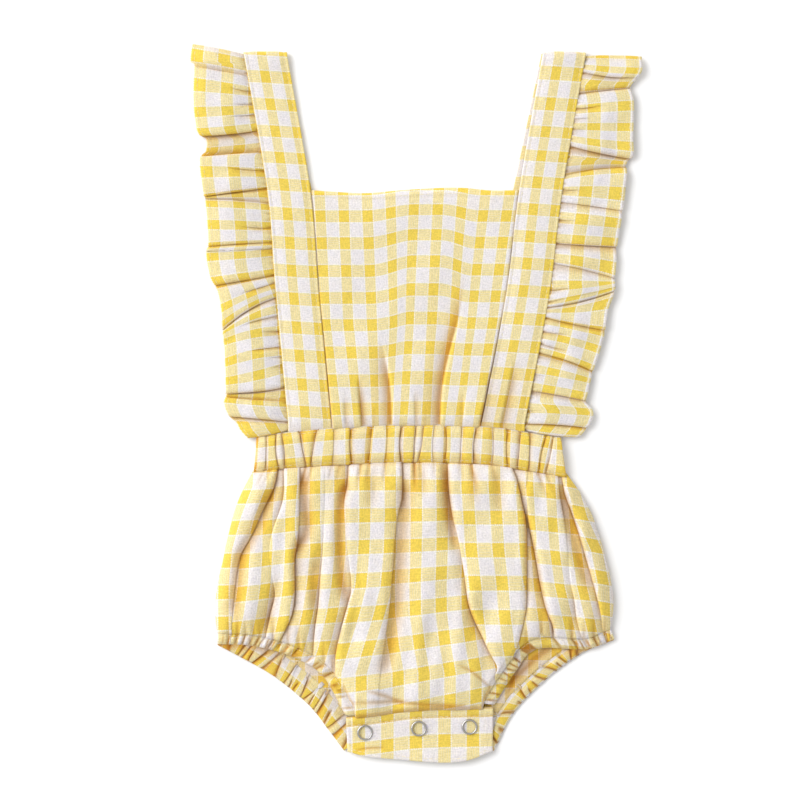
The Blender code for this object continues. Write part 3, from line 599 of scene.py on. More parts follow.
# where a crease leaves the seam, its middle and its outer end, how far out it reaches, its depth,
# 1 where the fold above it falls over the one below or -1 the other way, and the fold below's height
Crease = namedtuple("Crease", "seam_y middle_y outer_y reach depth over height")
RUFFLES = {
    "left": Ruffle(
        [(-134.9, 217.0), (-135.6, 206.7), (-133.6, 203.9), (-134.0, 184.0), (-132.6, 168.9), (-130.6, 162.9),
         (-126.9, 159.9), (-127.2, 153.0), (-130.2, 148.4), (-128.1, 127.9), (-126.6, 121.0), (-125.1, 98.9),
         (-126.3, 92.0), (-124.3, 78.9), (-119.7, 68.7), (-117.3, 57.9), (-116.6, 46.0), (-115.5, 34.9),
         (-114.6, 9.9), (-115.6, 2.0), (-112.6, -6.0), (-108.6, -9.3), (-106.0, -14.0), (-101.0, -19.5)],
        4.1, 16.3,
        [208.0, 190.7, 176.7, 165.3, 153.9, 140.7, 126.4, 121.7, 108.4, 96.7, 91.8, 76.5, 65.7, 60.3, 53.4,
         43.6, 31.0, 18.4, 4.9, -13.5],
        [Crease(210.4, 213.9, 216.9, 1.4, 0.3, 1, 1), Crease(198.0, 201.0, 204.0, 1.4, 0.6, -1, 1),
         Crease(188.1, 191.1, 193.5, 0.45, 0.75, 1, 1), Crease(181.1, 180.6, 180.3, 0.4, 0.75, 1, 1),
         Crease(175.1, 173.1, 171.9, 0.45, 0.7, 1, 1), Crease(165.7, 163.2, 162.2, 1.5, 1.0, 1, 0.5),
         Crease(152.7, 151.3, 149.7, 1.5, 0.8, -1, 1), Crease(140.8, 142.3, 143.1, 0.7, 0.6, 1, 1),
         Crease(131.1, 128.7, 125.9, 1.5, 1, 1, 0.6), Crease(121.9, 123.6, 124.4, 1.5, 0.6, -1, 1),
         Crease(106.5, 107.0, 107.7, 0.55, 0.7, 1, 1), Crease(98.5, 97.5, 96.0, 1.5, 0.9, 1, 1),
         Crease(94.5, 93.6, 92.7, 0.4, 0.6, 1, 1), Crease(79.1, 75.6, 72.6, 1.5, 0.95, 1, 0.9),
         Crease(74.3, 68.7, 62.1, 0.7, 0.7, 1, 1), Crease(65.5, 58.5, 45.9, 1.5, 1.0, 1, 1),
         Crease(54.3, 50.1, 42.3, 0.7, 0.7, 1, 1), Crease(44.9, 43.5, 39.3, 0.4, 0.75, 1, 1),
         Crease(35.7, 33.3, 27.9, 0.65, 0.7, 1, 1), Crease(29.7, 27.3, 22.5, 0.3, 0.5, 1, 1),
         Crease(25.5, 19.5, 15.9, 0.25, 0.6, 1, 1), Crease(11.7, 9.0, 7.8, 1.5, 1.0, 1, 0.55),
         Crease(3.5, 4.2, 6.0, 1.5, 0.5, -1, 1), Crease(-9.6, -7.5, -6.1, 1.5, 0.9, 1, 0.8),
         Crease(-14.1, -17.3, -19.1, 1.5, 0.8, 1, 1)]),
    "right": Ruffle(
        [(135.2, 209.5), (135.3, 201.9), (132.4, 196.6), (128.6, 191.2), (130.3, 182.0), (129.9, 160.9),
         (130.0, 149.9), (126.6, 146.0), (125.9, 136.0), (123.6, 116.9), (120.6, 98.0), (119.9, 87.9),
         (118.9, 76.0), (119.0, 68.9), (115.0, 58.0), (113.1, 44.9), (108.9, 29.9), (106.0, 21.5),
         (102.6, 7.9), (102.0, 2.9), (105.8, -3.0), (104.8, -9.0), (102.0, -13.5), (97.5, -18.5)],
        6.0, 17.9,
        [210.3, 201.7, 193.1, 179.0, 167.2, 157.8, 146.0, 141.6, 129.2, 110.8, 99.9, 86.5, 72.2, 66.0, 58.8,
         47.7, 39.3, 28.2, 19.5, 9.3, -1.8, -13.5],
        [Crease(209.8, 209.8, 209.3, 1.4, 0.3, 1, 1), Crease(200.5, 197.4, 196.5, 1.1, 0.75, 1, 0.8),
         Crease(186.9, 188.7, 190.3, 1.5, 0.9, -1, 1), Crease(178.1, 179.7, 180.9, 0.55, 0.75, 1, 1),
         Crease(172.1, 172.5, 173.1, 0.35, 0.6, 1, 1), Crease(165.9, 165.0, 164.7, 0.3, 0.5, 1, 1),
         Crease(156.7, 151.8, 148.5, 1.5, 1, 1, 0.6), Crease(138.0, 141.9, 143.3, 1.5, 0.6, -1, 1),
         Crease(129.5, 128.7, 127.5, 0.4, 0.7, 1, 1), Crease(122.2, 120.0, 116.9, 1.5, 0.6, 1, 1),
         Crease(111.6, 110.1, 108.3, 0.35, 0.7, 1, 1), Crease(97.9, 96.7, 95.8, 1.5, 1, 1, 1),
         Crease(85.3, 81.9, 76.5, 1.5, 0.65, 1, 1), Crease(69.1, 71.1, 73.8, 0.4, 0.75, 1, 1),
         Crease(62.2, 66.3, 71.4, 0.35, 0.7, 1, 0.9), Crease(58.8, 61.8, 68.7, 1.5, 0.9, -1, 1),
         Crease(53.7, 49.2, 45.6, 1.5, 0.85, 1, 1), Crease(44.7, 42.0, 36.9, 0.5, 0.7, 1, 1),
         Crease(37.8, 32.7, 26.7, 0.6, 0.7, 1, 1), Crease(32.6, 27.9, 21.3, 1.5, 0.9, 1, 1),
         Crease(18.9, 15.9, 12.9, 0.3, 0.6, 1, 1), Crease(9.5, 6.9, 3.4, 1.5, 0.85, 1, 1),
         Crease(-2.7, -3.3, -4.5, 0.25, 0.6, 1, 1), Crease(-10.4, -10.8, -12.8, 1.5, 0.9, 1, 0.8),
         Crease(-14.1, -17.3, -18.3, 1.5, 0.8, 1, 1)])}
RUFFLE_RISE = 4.5           # how far the folds stand over the creases
RUFFLE_WALL = 0.45
RUFFLE_LAP = 1.6            # the gathered edge reaches this far under the strap
RUFFLE_HEM = 2.2            # the width of the rolled hem, with its stitching just inside it
RUFFLE_STITCH = 2.6
RUFFLE_COLUMNS = 26
GATHER_PITCH = 3.3          # the small puckers along the seam

# The cloth on one side of a crease, from the top of the fold to its bottom: its place as a share of the fold
# where the crease has faded out (flat) and where it is full (share), how far it is turned under, in tucks,
# how far down it lies, and how much painted shade it gets. A fold falls over the crease or rises from it.
Step = namedtuple("Step", "flat share turned drop dark")
FALLING_SIDE = [Step(0.42, 0.42, 0, 0, 0), Step(0.16, 0.14, 0, 0.05, 0.1), Step(0.08, 0, -0.15, 0.32, 0.75),
                Step(0.04, 0, 0.35, 0.72, 1.0)]
RISING_SIDE = [Step(0.34, 0.32, 0, 0.10, 0.14), Step(0.12, 0.10, 0, 0.50, 0.75)]


def gathered(places, depths, tops, floor, tuck, over):
    """Cloth gathered between creases. Places and depths have one row a crease and one column a line across
    the gathers, and tops one row a fold. The fold on one side of a crease leans over it: its lip passes the
    crease, and the cloth turns back under it. Gives the place along the gathers, the height, and how much
    painted shade each point gets, more the deeper it lies in a crease."""
    rows = []
    folds = len(places) - 1
    for crease in range(folds + 1):
        here, depth = places[crease], depths[crease]
        above, below = tops[max(crease - 1, 0)], tops[min(crease, folds - 1)]
        low = floor + (np.minimum(above, below) - floor) * (1 - depth)
        lip, flank = [], []
        for side, top in ((-1, above), (1, below)):
            if not 0 <= crease + min(side, 0) < folds:
                continue
            span = abs(places[crease + side] - here)
            drop = top - low
            part = []
            for step in FALLING_SIDE if over[crease] == -side else RISING_SIDE:
                offset = step.flat * span * (1 - depth) + (step.share * span + step.turned * tuck) * depth
                part.append((here + side * offset, top - step.drop * drop, step.dark * depth))
            (lip if side < 0 else flank).extend(part if side < 0 else part[::-1])
        rows += lip + [(here - over[crease] * tuck * depth, low, depth)] + flank
    flat = [np.array([row[item] + 0 * places[0] for row in rows]) for item in range(3)]
    both = smooth(np.hstack(flat))[::5]
    count = places.shape[1]
    return both[:, :count], both[:, count:2 * count], np.clip(both[:, 2 * count:], 0, 1)


def ruffle(side):
    outward = -1 if side == "left" else 1
    sizes = RUFFLES[side]
    strap_edge = smooth(STRAP_INNER[side]) + [outward * (STRAP_WIDTH - RUFFLE_LAP), 0]
    outline = smooth(sizes.outline)
    columns = np.linspace(0, 1, RUFFLE_COLUMNS)
    seam_y, middle_y, outer_y, reach, depth, over, height = [np.array(column)[:, None]
                                                             for column in zip(*sizes.creases)]
    bow = 4 * (middle_y - (seam_y + outer_y) / 2)
    places = -(seam_y + (outer_y - seam_y) * columns + bow * columns * (1 - columns))
    depths = 0.88 * depth * ease((reach - columns) / (0.2 + 0.35 * np.minimum(reach, 1)))
    rise = RUFFLE_RISE * np.interp(columns, [0, 0.05, 0.13, 0.3, 0.55, 0.9, 1],
                                   [0.10, 0.18, 0.45, 0.75, 1.0, 0.85, 0.72])
    floor = 0.8 + 1.1 * (1 - columns) ** 2
    tops = floor + rise * height[:-1]
    tuck = np.interp(columns, [0, 0.3, 1], [0.8, 2.2, 2.0])
    place, level, dark = gathered(places, depths, tops, floor, tuck, over[:, 0])
    down = -place
    seam_x = where(strap_edge, 1, down)[..., 0]
    outer_x = where(outline, 1, down)[..., 0]
    low = np.clip((floor + rise - level) / rise, 0, 1)
    outer_x = outer_x - outward * 1.2 * low * columns ** 2
    grid = np.dstack([seam_x + (outer_x - seam_x) * columns, down])
    width = np.abs(outer_x - seam_x)
    to_hem = width * (1 - columns)
    hem = 0.3 * (1 - ease((to_hem - RUFFLE_HEM) / 0.6)) - seam_dip(to_hem - RUFFLE_STITCH, 0.3, 0.6)
    by_seam = np.exp(-(columns / 0.08) ** 2) * ease((columns + 0.001) / 0.02)
    pucker = np.sin(2 * np.pi * down / GATHER_PITCH + 2.0 * np.sin(down / 5.0)) * by_seam
    loose = slack(grid, 21, 0.5, 8.0, 26.0) * np.minimum(columns * 6, 1)
    points = raised(grid, level + hem + 0.35 * pucker + loose)
    half_way = slice(RUFFLE_COLUMNS // 2, RUFFLE_COLUMNS // 2 + 1)
    weave = counted((sizes.last_stripe - to_hem) / sizes.spacing,
                    stripes_at(-down[:, half_way], -np.array(sizes.rows)))
    # Painted shade: darker in the creases, in the low folds and more so towards the hem, close to the seam,
    # and in the puckers along it.
    painted_shade = dark * (0.85 - 0.35 * columns) + 0.30 * low ** 2.5 + 0.35 * columns * low ** 1.3
    painted_shade = painted_shade + 0.25 * ease(1 - columns / 0.12) + 0.55 * np.clip(-pucker, 0, 1)
    hem_line = line_on(points, (RUFFLE_COLUMNS - 1) * (1 - RUFFLE_STITCH / width.max(axis=1)))
    stitches = stitching("ruffle_stitches_" + side, "ruffle_" + side, [hem_line])
    if side == "left":
        points, weave, painted_shade = other_way(points, weave, painted_shade)
    piece = cloth("ruffle_cloth_" + side, "ruffle_" + side, points, weave, RUFFLE_WALL, painted_shade)


for ruffle_side in ("left", "right"):
    ruffle(ruffle_side)

# ------------------------------------------------------------------------------ the waistband
# A casing of gingham over a flat elastic, drawn up so that it puckers. It is sewn over the ends of
# the bib and straps and over the top of the bloomers. The back half lies under the front one.
WAIST_BOTTOM = [(-97.0, -39.7), (-70.0, -36.7), (-9.0, -33.8), (38.0, -34.8), (66.3, -39.0), (90.0, -42.9)]
WAIST_WIDTH = 23.5
WARP_STRIPE = 14.0          # from one yellow stripe to the next, across the cloth
WEFT_STRIPE = 16.5          # and along it
WAIST_FLOOR = 2.6           # the bottom of a crease
WAIST_RISE = 3.4            # and how far the folds stand over it
WAIST_STITCH = 2.0          # from both edges
WAIST_LINES = 22            # grid lines from edge to edge
WAIST_BACK_TOP = 1.0
WAIST_BACK_WALL = 0.9
FIRST_WEFT = 4.2            # where the first yellow stripe lies down the band
BAND_WEFT = 16.3            # and how far the next one is from it
# a crease's ends at the two edges, its depth, and 1 where the fold on its left falls over it or -1
# where the one on its right does
Tuck = namedtuple("Tuck", "top_x bottom_x depth over")
WAIST_TUCKS = [
    Tuck(-95.3, -97.0, 0.8, 1), Tuck(-90.3, -90.9, 0.6, 1), Tuck(-84.4, -82.6, 0.9, 1),
    Tuck(-80.8, -78.8, 0.8, -1), Tuck(-70.5, -66.3, 1.0, 1), Tuck(-59.2, -63.2, 0.9, -1),
    Tuck(-49.5, -50.6, 0.5, 1), Tuck(-39.9, -39.3, 0.9, 1), Tuck(-26.2, -28.5, 0.9, -1),
    Tuck(-17.7, -18.9, 0.5, 1), Tuck(-9.3, -9.8, 1.0, 1), Tuck(-0.6, -2.1, 0.9, 1),
    Tuck(4.5, 0.9, 0.7, -1), Tuck(11.0, 10.2, 0.4, 1), Tuck(17.7, 17.1, 0.9, -1), Tuck(27.3, 26.1, 0.5, 1),
    Tuck(35.7, 33.9, 0.9, 1), Tuck(45.7, 45.1, 0.5, -1), Tuck(54.3, 54.3, 0.9, 1), Tuck(62.7, 60.7, 0.9, -1),
    Tuck(67.5, 66.6, 0.8, 1), Tuck(77.7, 72.9, 0.8, 1), Tuck(82.3, 77.3, 0.7, -1), Tuck(86.5, 90.0, 0.8, 1)]


def along(curve, fractions):
    """The points at fractions of a dense curve's length."""
    length = run_of(curve[:, :2])
    wanted = np.asarray(fractions) * length[-1]
    return np.column_stack([np.interp(wanted, length, curve[:, axis]) for axis in range(curve.shape[1])])


def plain_check(grid):
    """The stripe counts of cloth that lies straight and flat."""
    return grid / [WARP_STRIPE, -WEFT_STRIPE]


def waistband():
    top, bottom = smooth(WAIST_TOP), smooth(WAIST_BOTTOM)
    columns = np.linspace(0, 1, WAIST_LINES)
    top_x, bottom_x, depth, over = [np.array(column)[:, None] for column in zip(*WAIST_TUCKS)]
    places = top_x + (bottom_x - top_x) * columns
    wander = 0.8 * np.sin(2.3 * np.arange(len(places)))[:, None] * np.sin(np.pi * columns)
    wander[[0, -1]] = 0
    depths = depth * (0.72 + 0.28 * np.cos(2 * np.pi * columns))
    from_edge = WAIST_WIDTH * np.minimum(columns, 1 - columns)
    rise = WAIST_RISE * (0.22 + 0.78 * ease(from_edge / 4.5))
    draw = np.random.default_rng(33)
    tops = WAIST_FLOOR + rise * draw.uniform(0.8, 1.1, (len(places) - 1, 1))
    place, level, dark = gathered(places + wander, depths, tops, WAIST_FLOOR, 0.8, over[:, 0])
    upper, lower = where(top, 0, place)[..., 1], where(bottom, 0, place)[..., 1]
    grid = np.dstack([place, upper + (lower - upper) * columns])
    level = level - seam_dip(from_edge - WAIST_STITCH, 0.4, 0.7) - 0.5 * ease(1 - from_edge / 0.9)
    points = raised(grid, level).transpose(1, 0, 2)
    run = added_up(np.linalg.norm(np.diff(points[4:18], axis=1), axis=2).mean(axis=0))
    weave = counted(run[None, :] / WARP_STRIPE + 0.1,
                    (WAIST_WIDTH * columns[:, None] - FIRST_WEFT) / BAND_WEFT)
    low = np.clip((WAIST_FLOOR + rise - level) / rise, 0, 1).T
    # Painted shade: in the creases and low between the folds.
    painted_shade = 0.95 * dark.T + 0.3 * low ** 1.8
    piece = cloth("waistband_cloth", "waistband_front", points, weave, CLOTH_WALL, painted_shade)
    edges = [line_across(points, (WAIST_LINES - 1) * share)
             for share in (WAIST_STITCH / WAIST_WIDTH, 1 - WAIST_STITCH / WAIST_WIDTH)]
    stitches = stitching("waistband_stitches", "waistband_front", edges)


def waistband_back():
    top, bottom = smooth(WAIST_TOP), smooth(WAIST_BOTTOM)
    share = np.linspace(0, 1, 60)
    grid = patch(along(top, share), along(bottom, share),
                 np.linspace(top[0], bottom[0], 8), np.linspace(top[-1], bottom[-1], 8))
    back = cloth("waistband_back_cloth", "waistband_back", raised(grid, WAIST_BACK_TOP),
                 plain_check(grid), WAIST_BACK_WALL)


waistband()
waistband_back()

# ------------------------------------------------------------------------------ the bloomers
# Two full panels of gingham, gathered at the waistband and at both leg casings. The front one
# stands up in soft rolls between its pleats, and the back one lies flat on the table.
FRONT_LEG_LEFT = [(-119.7, -142.4), (-99.0, -143.4), (-76.0, -149.4), (-56.7, -161.0), (-42.6, -185.0)]
FRONT_LEG_RIGHT = [(118.6, -139.4), (101.0, -145.4), (72.0, -145.4), (59.0, -159.3), (46.6, -178.6)]
BACK_LEG_LEFT = [(-119.4, -143.0), (-104.7, -150.7), (-84.3, -162.6), (-64.6, -179.0), (-53.4, -193.0),
                 (-43.4, -206.4)]
BACK_LEG_RIGHT = [(118.4, -140.0), (98.5, -148.3), (76.5, -164.7), (58.1, -183.9), (46.3, -206.6)]
CROTCH_TOP = [(-42.3, -186.0), (-20.0, -183.4), (2.7, -180.7), (46.0, -179.7)]
SIDE_LEFT = [(-107.5, -58.0), (-115.0, -87.0), (-120.4, -118.0)]
SIDE_RIGHT = [(103.0, -60.0), (112.0, -86.0), (117.9, -114.0)]
FRONT_CASING = {"left": 6.0, "right": 6.0}
BACK_CASING = {"left": 13.0, "right": 7.0}
BACK_CROTCH_Y = -186.0      # where the back panel meets the back band
CROTCH_LAP = 2.0            # the panel runs this far under the crotch band
PUFF = 7.5                  # how high the panel stands between its folds
WAIST_ROLL = 17.0           # the panel curves down to its seams and its sides over these widths
HEM_ROLL = 20.0
SIDE_ROLL = 14.0
PANEL_ROWS = 118
PANEL_UNDER_BAND = 1.75     # the height of its right side in the waistband's seam
PANEL_BACK_TOP = 1.6
PANEL_BACK_WALL = 0.8

# Each row follows one fold from the waist to the hem: x, y, and how far the cloth drops there.
# A positive drop has its high side on the right, and a negative one on the left.
Fold = namedtuple("Fold", "name spread route")
PANEL_FOLDS = [
    Fold("outer_roll", 7.0, [
        (-83.1, -37.5, -4.2), (-85.0, -45.3, -4.4), (-88.0, -53.7, -2.6), (-92.0, -62.0, -1.6),
        (-98.0, -76.0, -1.2), (-105.0, -88.5, -1.4), (-107.4, -99.5, -0.9), (-108.6, -110.0, -0.6),
        (-110.1, -125.1, -0.6), (-110.6, -137.5, -1.0)]),
    Fold("second_gather", 4.5, [
        (-78.9, -38.0, 3.0), (-79.0, -51.3, 3.2), (-80.8, -60.0, 2.4), (-86.1, -74.7, 1.2),
        (-88.0, -87.0, 0.0), (-86.0, -104.0, 0.4), (-84.6, -113.1, 2.2), (-87.0, -124.0, 3.0),
        (-90.1, -137.8, 2.6)]),
    Fold("long_pleat", 5.5, [
        (-69.9, -37.5, -2.6), (-70.2, -56.1, -2.0), (-70.6, -72.0, -2.0), (-72.5, -84.0, -4.6),
        (-73.9, -92.0, -5.4), (-73.7, -113.7, -4.6), (-75.9, -126.9, -3.6), (-82.0, -139.0, -2.6)]),
    Fold("inner_gather", 3.0, [
        (-54.5, -36.5, 0.0), (-55.2, -66.0, 0.0), (-56.0, -86.0, 1.4), (-57.0, -100.0, 3.0),
        (-58.2, -118.0, 3.6), (-60.4, -134.0, 3.4), (-61.5, -149.0, 2.6)]),
    Fold("left_pleat", 6.0, [
        (-39.7, -35.0, 4.6), (-40.4, -46.0, 4.6), (-43.0, -58.0, 2.2), (-42.6, -74.0, 0.6),
        (-40.8, -90.0, 0.6), (-38.6, -107.5, 2.4), (-40.3, -117.9, 4.2), (-43.3, -128.7, 4.4),
        (-47.4, -146.0, 3.8), (-49.3, -162.0, 3.0)]),
    Fold("middle_pleat", 7.0, [
        (-9.3, -33.9, -4.2), (-9.1, -53.7, -3.0), (-11.6, -66.0, -1.6), (-13.3, -83.1, -1.7),
        (-14.9, -104.1, -1.7), (-16.5, -122.1, -1.5), (-18.9, -140.1, -1.2), (-21.5, -160.0, -0.4),
        (-23.0, -183.0, 0.0)]),
    Fold("crossing_pleat", 5.0, [
        (18.9, -34.5, 4.2), (20.1, -50.7, 4.2), (22.2, -66.5, 3.6), (24.7, -78.0, 1.8),
        (28.5, -98.3, 2.6), (31.4, -116.1, 4.6), (34.5, -126.3, 4.8), (39.0, -135.9, 4.4),
        (44.3, -147.5, 3.4), (49.8, -158.0, 2.2), (54.8, -169.5, 1.0)]),
    Fold("open_pleat_left", 6.5, [
        (54.9, -37.0, -4.6), (59.7, -46.0, -4.6), (62.4, -58.0, -4.6), (64.7, -70.0, -5.4),
        (65.1, -92.1, -6.4), (65.1, -116.1, -6.0), (64.3, -126.0, -5.4), (61.5, -136.0, -4.2),
        (58.6, -151.5, -2.0)]),
    Fold("open_pleat_right", 5.5, [
        (66.1, -39.5, -1.6), (65.6, -50.0, -1.0), (66.2, -60.0, 1.4), (67.8, -70.0, 4.6),
        (71.9, -88.0, 6.2), (74.7, -104.0, 6.2), (78.0, -119.7, 5.2), (81.8, -130.5, 4.0),
        (82.8, -138.6, 2.6)]),
    Fold("right_gather", 4.0, [
        (83.7, -42.5, -1.6), (86.3, -58.0, -2.2), (88.9, -72.3, -1.4), (90.5, -86.0, 0.0),
        (91.8, -104.0, 0.8), (94.3, -114.9, 2.2), (96.3, -128.3, 2.6), (99.2, -138.0, 1.6)]),
    Fold("right_roll", 5.0, [
        (85.7, -42.9, 2.4), (90.4, -55.6, 4.2), (94.4, -66.1, 4.2), (98.5, -79.3, 3.6),
        (103.0, -95.0, 3.4), (107.0, -109.5, 3.2), (110.0, -122.9, 2.4), (111.2, -134.5, 1.2)]),
]
# Soft troughs where the cloth sags between the folds.
Trough = namedtuple("Trough", "width depth route")
PANEL_TROUGHS = [
    Trough(4.2, 2.4, [(-87.0, -50.7), (-92.5, -65.1), (-99.5, -80.1), (-105.3, -90.5), (-107.0, -104.1),
                      (-109.5, -124.0)]),
    Trough(3.6, 2.6, [(-67.0, -41.0), (-66.5, -58.0), (-65.5, -74.0), (-70.5, -85.0)]),
    Trough(3.4, 2.6, [(-41.7, -46.1), (-45.0, -57.1), (-45.8, -80.1), (-44.7, -101.1), (-42.5, -114.3)]),
    Trough(4.6, 2.0, [(-7.5, -46.0), (-8.0, -68.1), (-9.8, -92.1), (-11.5, -116.1), (-15.2, -140.1),
                      (-19.8, -159.3)]),
    Trough(2.6, 2.2, [(17.2, -36.1), (18.2, -53.1), (20.0, -68.1), (23.0, -84.0)]),
    Trough(3.2, 1.8, [(86.1, -50.1), (89.7, -65.1), (93.9, -80.1), (98.8, -96.1), (102.4, -108.1)]),
    Trough(3.0, 1.6, [(-60.5, -92.0), (-61.8, -104.0), (-61.5, -120.0)]),
    Trough(3.0, 1.4, [(-84.0, -104.0), (-86.0, -118.0), (-90.0, -133.0)]),
    Trough(3.6, 1.2, [(34.0, -37.0), (34.5, -58.0)]), Trough(4.0, 1.2, [(48.0, -38.0), (50.0, -62.0)]),
    Trough(4.0, 1.0, [(-25.0, -36.0), (-27.0, -60.0)]), Trough(3.0, 1.1, [(4.5, -36.0), (4.0, -52.0)])]
Stretch = namedtuple("Stretch", "after stripe spacing middles row_x rows tilt")
STATIONS = [-47.1, -66.3, -86.1, -107.1, -123.9, -143.1, -159.3]
STRETCHES = [
    Stretch(None, 0, 14.6, [-101.1, -108.3, -113.7, -115.5, -115.5, -115.5, -115.5],
            -108.0, [-54.3, -72.3, -92.1, -110.7, -129.3], (0.05, 0.05)),
    Stretch("outer_roll", 2, 13.5, [-87.9, -89.1, -89.1, -90.3, -92.7, -96.9, -99.9],
            -75.0, [-51.3, -70.5, -89.1, -108.3, -129.3], (0.12, 0.12)),
    Stretch("long_pleat", 4, 14.7, [-60.7, -60.9, -60.3, -62.4, -65.1, -69.9, -74.7],
            -60.9, [-48.3, -66.3, -86.1, -104.7, -125.7, -144.9], (0.06, 0.08)),
    Stretch("left_pleat", 6, 15.2, [-30.9, -30.9, -31.5, -33.3, -37.5, -43.3, -48.3],
            -30.9, [-45.9, -65.1, -83.7, -103.8, -123.7, -144.7, -165.1], (0.0, 0.14)),
    Stretch("middle_pleat", 9, 15.5, [-0.3, -0.1, -0.3, -0.9, -0.7, 1.7, 4.5],
            0.0, [-47.4, -64.7, -83.0, -100.4, -120.1, -140.7, -160.4], (0.0, 0.2)),
    Stretch("crossing_pleat", 13, 16.2, [46.5, 47.7, 48.9, 51.3, 52.5, 55.0, 58.0],
            47.7, [-48.3, -66.1, -85.8, -105.4, -126.1, -145.0], (0.0, 0.0)),
    Stretch("open_pleat_left", 15, 13.5, [68.1, 70.2, 71.5, 73.0, 75.3, 78.0, 80.0],
            75.0, [-49.5, -69.0, -88.0, -107.0, -124.5, -142.0], (-0.04, -0.04)),
    Stretch("open_pleat_right", 16, 13.2, [80.1, 81.1, 82.5, 85.5, 89.5, 93.9, 96.0],
            82.5, [-50.7, -70.8, -90.5, -109.7, -128.8, -146.0], (-0.10, -0.10)),
    Stretch("right_roll", 18, 15.6, [93.3, 98.7, 107.7, 111.9, 112.5, 112.5, 112.5],
            105.0, [-65.0, -83.0, -101.0, -119.5, -138.0], (-0.2, -0.2)),
]
# short creases that fan down from the tucks in the waistband and up from the leg casings
Gather = namedtuple("Gather", "x depth")
WAIST_GATHERS = [
    Gather(-91.5, 0.8), Gather(-88.0, 0.9), Gather(-66.3, 1.4), Gather(-62.8, 1.1), Gather(-50.6, 0.8),
    Gather(-46.0, 0.9), Gather(-33.5, 1.5), Gather(-28.5, 1.1), Gather(-18.9, 1.2), Gather(-1.3, 2.0),
    Gather(1.9, 0.9), Gather(10.2, 0.7), Gather(26.1, 0.8), Gather(32.6, 1.8), Gather(45.1, 0.9),
    Gather(72.9, 1.4), Gather(78.0, 1.1)]
HEM_GATHERS = [
    Gather(-112.5, 0.9), Gather(-107.0, 1.1), Gather(-102.3, 0.9), Gather(-97.5, 1.1), Gather(-93.9, 0.9),
    Gather(-85.8, 1.3), Gather(-77.0, 1.1), Gather(-70.6, 1.3), Gather(-66.5, 0.9), Gather(-55.5, 1.1),
    Gather(-50.0, 0.9), Gather(65.5, 1.2), Gather(74.7, 1.5), Gather(82.2, 1.1), Gather(93.0, 1.4),
    Gather(100.2, 1.0), Gather(106.0, 1.2), Gather(112.5, 0.9)]


def inset(curve, distance):
    """A dense curve moved sideways, to its left as it runs."""
    run = np.gradient(curve, axis=0)
    run /= np.linalg.norm(run, axis=1)[:, None]
    return curve + distance * np.column_stack([-run[:, 1], run[:, 0]])


def leg_edges(leg, casing):
    """The outer and inner edges of a leg casing, and the edge of the panel above it."""
    outer = smooth(leg)
    side = 1 if leg[0][0] < leg[-1][0] else -1
    return outer, inset(outer, side * casing), inset(outer, side * (casing + SEAM_GAP))


def panel_hem(leg_left, leg_right, casing, crotch):
    """The lower edge of a bloomer panel, from one side to the other."""
    left_leg = leg_edges(leg_left, casing["left"])[2]
    right_leg = leg_edges(leg_right, casing["right"])[2][::-1]
    left_leg = left_leg[left_leg[:, 1] > crotch[0, 1]]
    right_leg = right_leg[right_leg[:, 1] > crotch[-1, 1]]
    crotch = crotch[(crotch[:, 0] > left_leg[-1, 0]) & (crotch[:, 0] < right_leg[0, 0])]
    return np.vstack([left_leg, crotch, right_leg])


def fraction_of(curve, point):
    """How far along a dense curve the nearest place to a point is."""
    length = run_of(curve)
    return length[np.argmin(np.linalg.norm(curve - point, axis=1))] / length[-1]


def span_columns(width):
    """Grid lines across a stretch of cloth, closer together towards the folds at its two ends."""
    count = max(9, int(round(width / 0.78)))
    even = np.linspace(0, 1, count + 1)
    return 0.45 * even + 0.55 * (1 - np.cos(np.pi * even)) / 2


def sag(grid, troughs):
    """How far soft troughs lower each point of an x, y grid."""
    total = np.zeros(grid.shape[:2])
    for trough in troughs:
        route = smooth(trough.route)
        x, y = route[np.argsort(route[:, 1])].T
        aside = beside(grid, x, y)
        fade = ease((y[-1] + 6 - grid[..., 1]) / 12.0) * ease((grid[..., 1] - y[0] + 6) / 12.0)
        total += trough.depth * fade * np.exp(-(aside / trough.width) ** 2)
    return total


# Short creases that lie across the panel just above the crotch seam.
CROTCH_CREASES = [
    Trough(1.2, 1.0, [(-39.0, -177.3), (-26.0, -176.9), (-12.0, -176.8), (6.0, -178.2), (28.0, -179.0)]),
    Trough(1.1, 0.9, [(-29.1, -169.9), (-20.0, -172.6), (-9.0, -176.6)]),
    Trough(0.9, 0.9, [(25.5, -154.5), (33.3, -158.7), (44.1, -167.7)])]


def crossed(grid, creases):
    """How far creases that run any way lower each point of an x, y grid, tapering to their ends."""
    total = np.zeros(grid.shape[:2])
    for crease in creases:
        route = along(smooth(crease.route), np.linspace(0, 1, 70))
        apart = np.linalg.norm(grid[:, :, None] - route, axis=3)
        taper = np.sin(np.pi * np.linspace(0.06, 0.94, len(route))) ** 0.5
        across = np.exp(-(apart.min(axis=2) / crease.width) ** 1.6)
        total += crease.depth * taper[apart.argmin(axis=2)] * across
    return total


def check_at(x, y, owners):
    """The stripe counts over the front panel, where owners names the stretch of each column."""
    weave = np.zeros((*x.shape, 2))
    for item in STRETCHES:
        own = [index for index, stretch in enumerate(owners) if stretch is item]
        part_x, part_y = x[:, own], y[:, own]
        middle = np.interp(-part_y, -np.array(STATIONS), item.middles)
        weave[:, own, 0] = item.stripe + (part_x - middle) / item.spacing
        tilt = np.interp(part_y, [-170.0, -50.0], item.tilt[::-1])
        level = part_y - tilt * (part_x - item.row_x)
        weave[:, own, 1] = stripes_at(-level, -np.array(item.rows))
    return weave


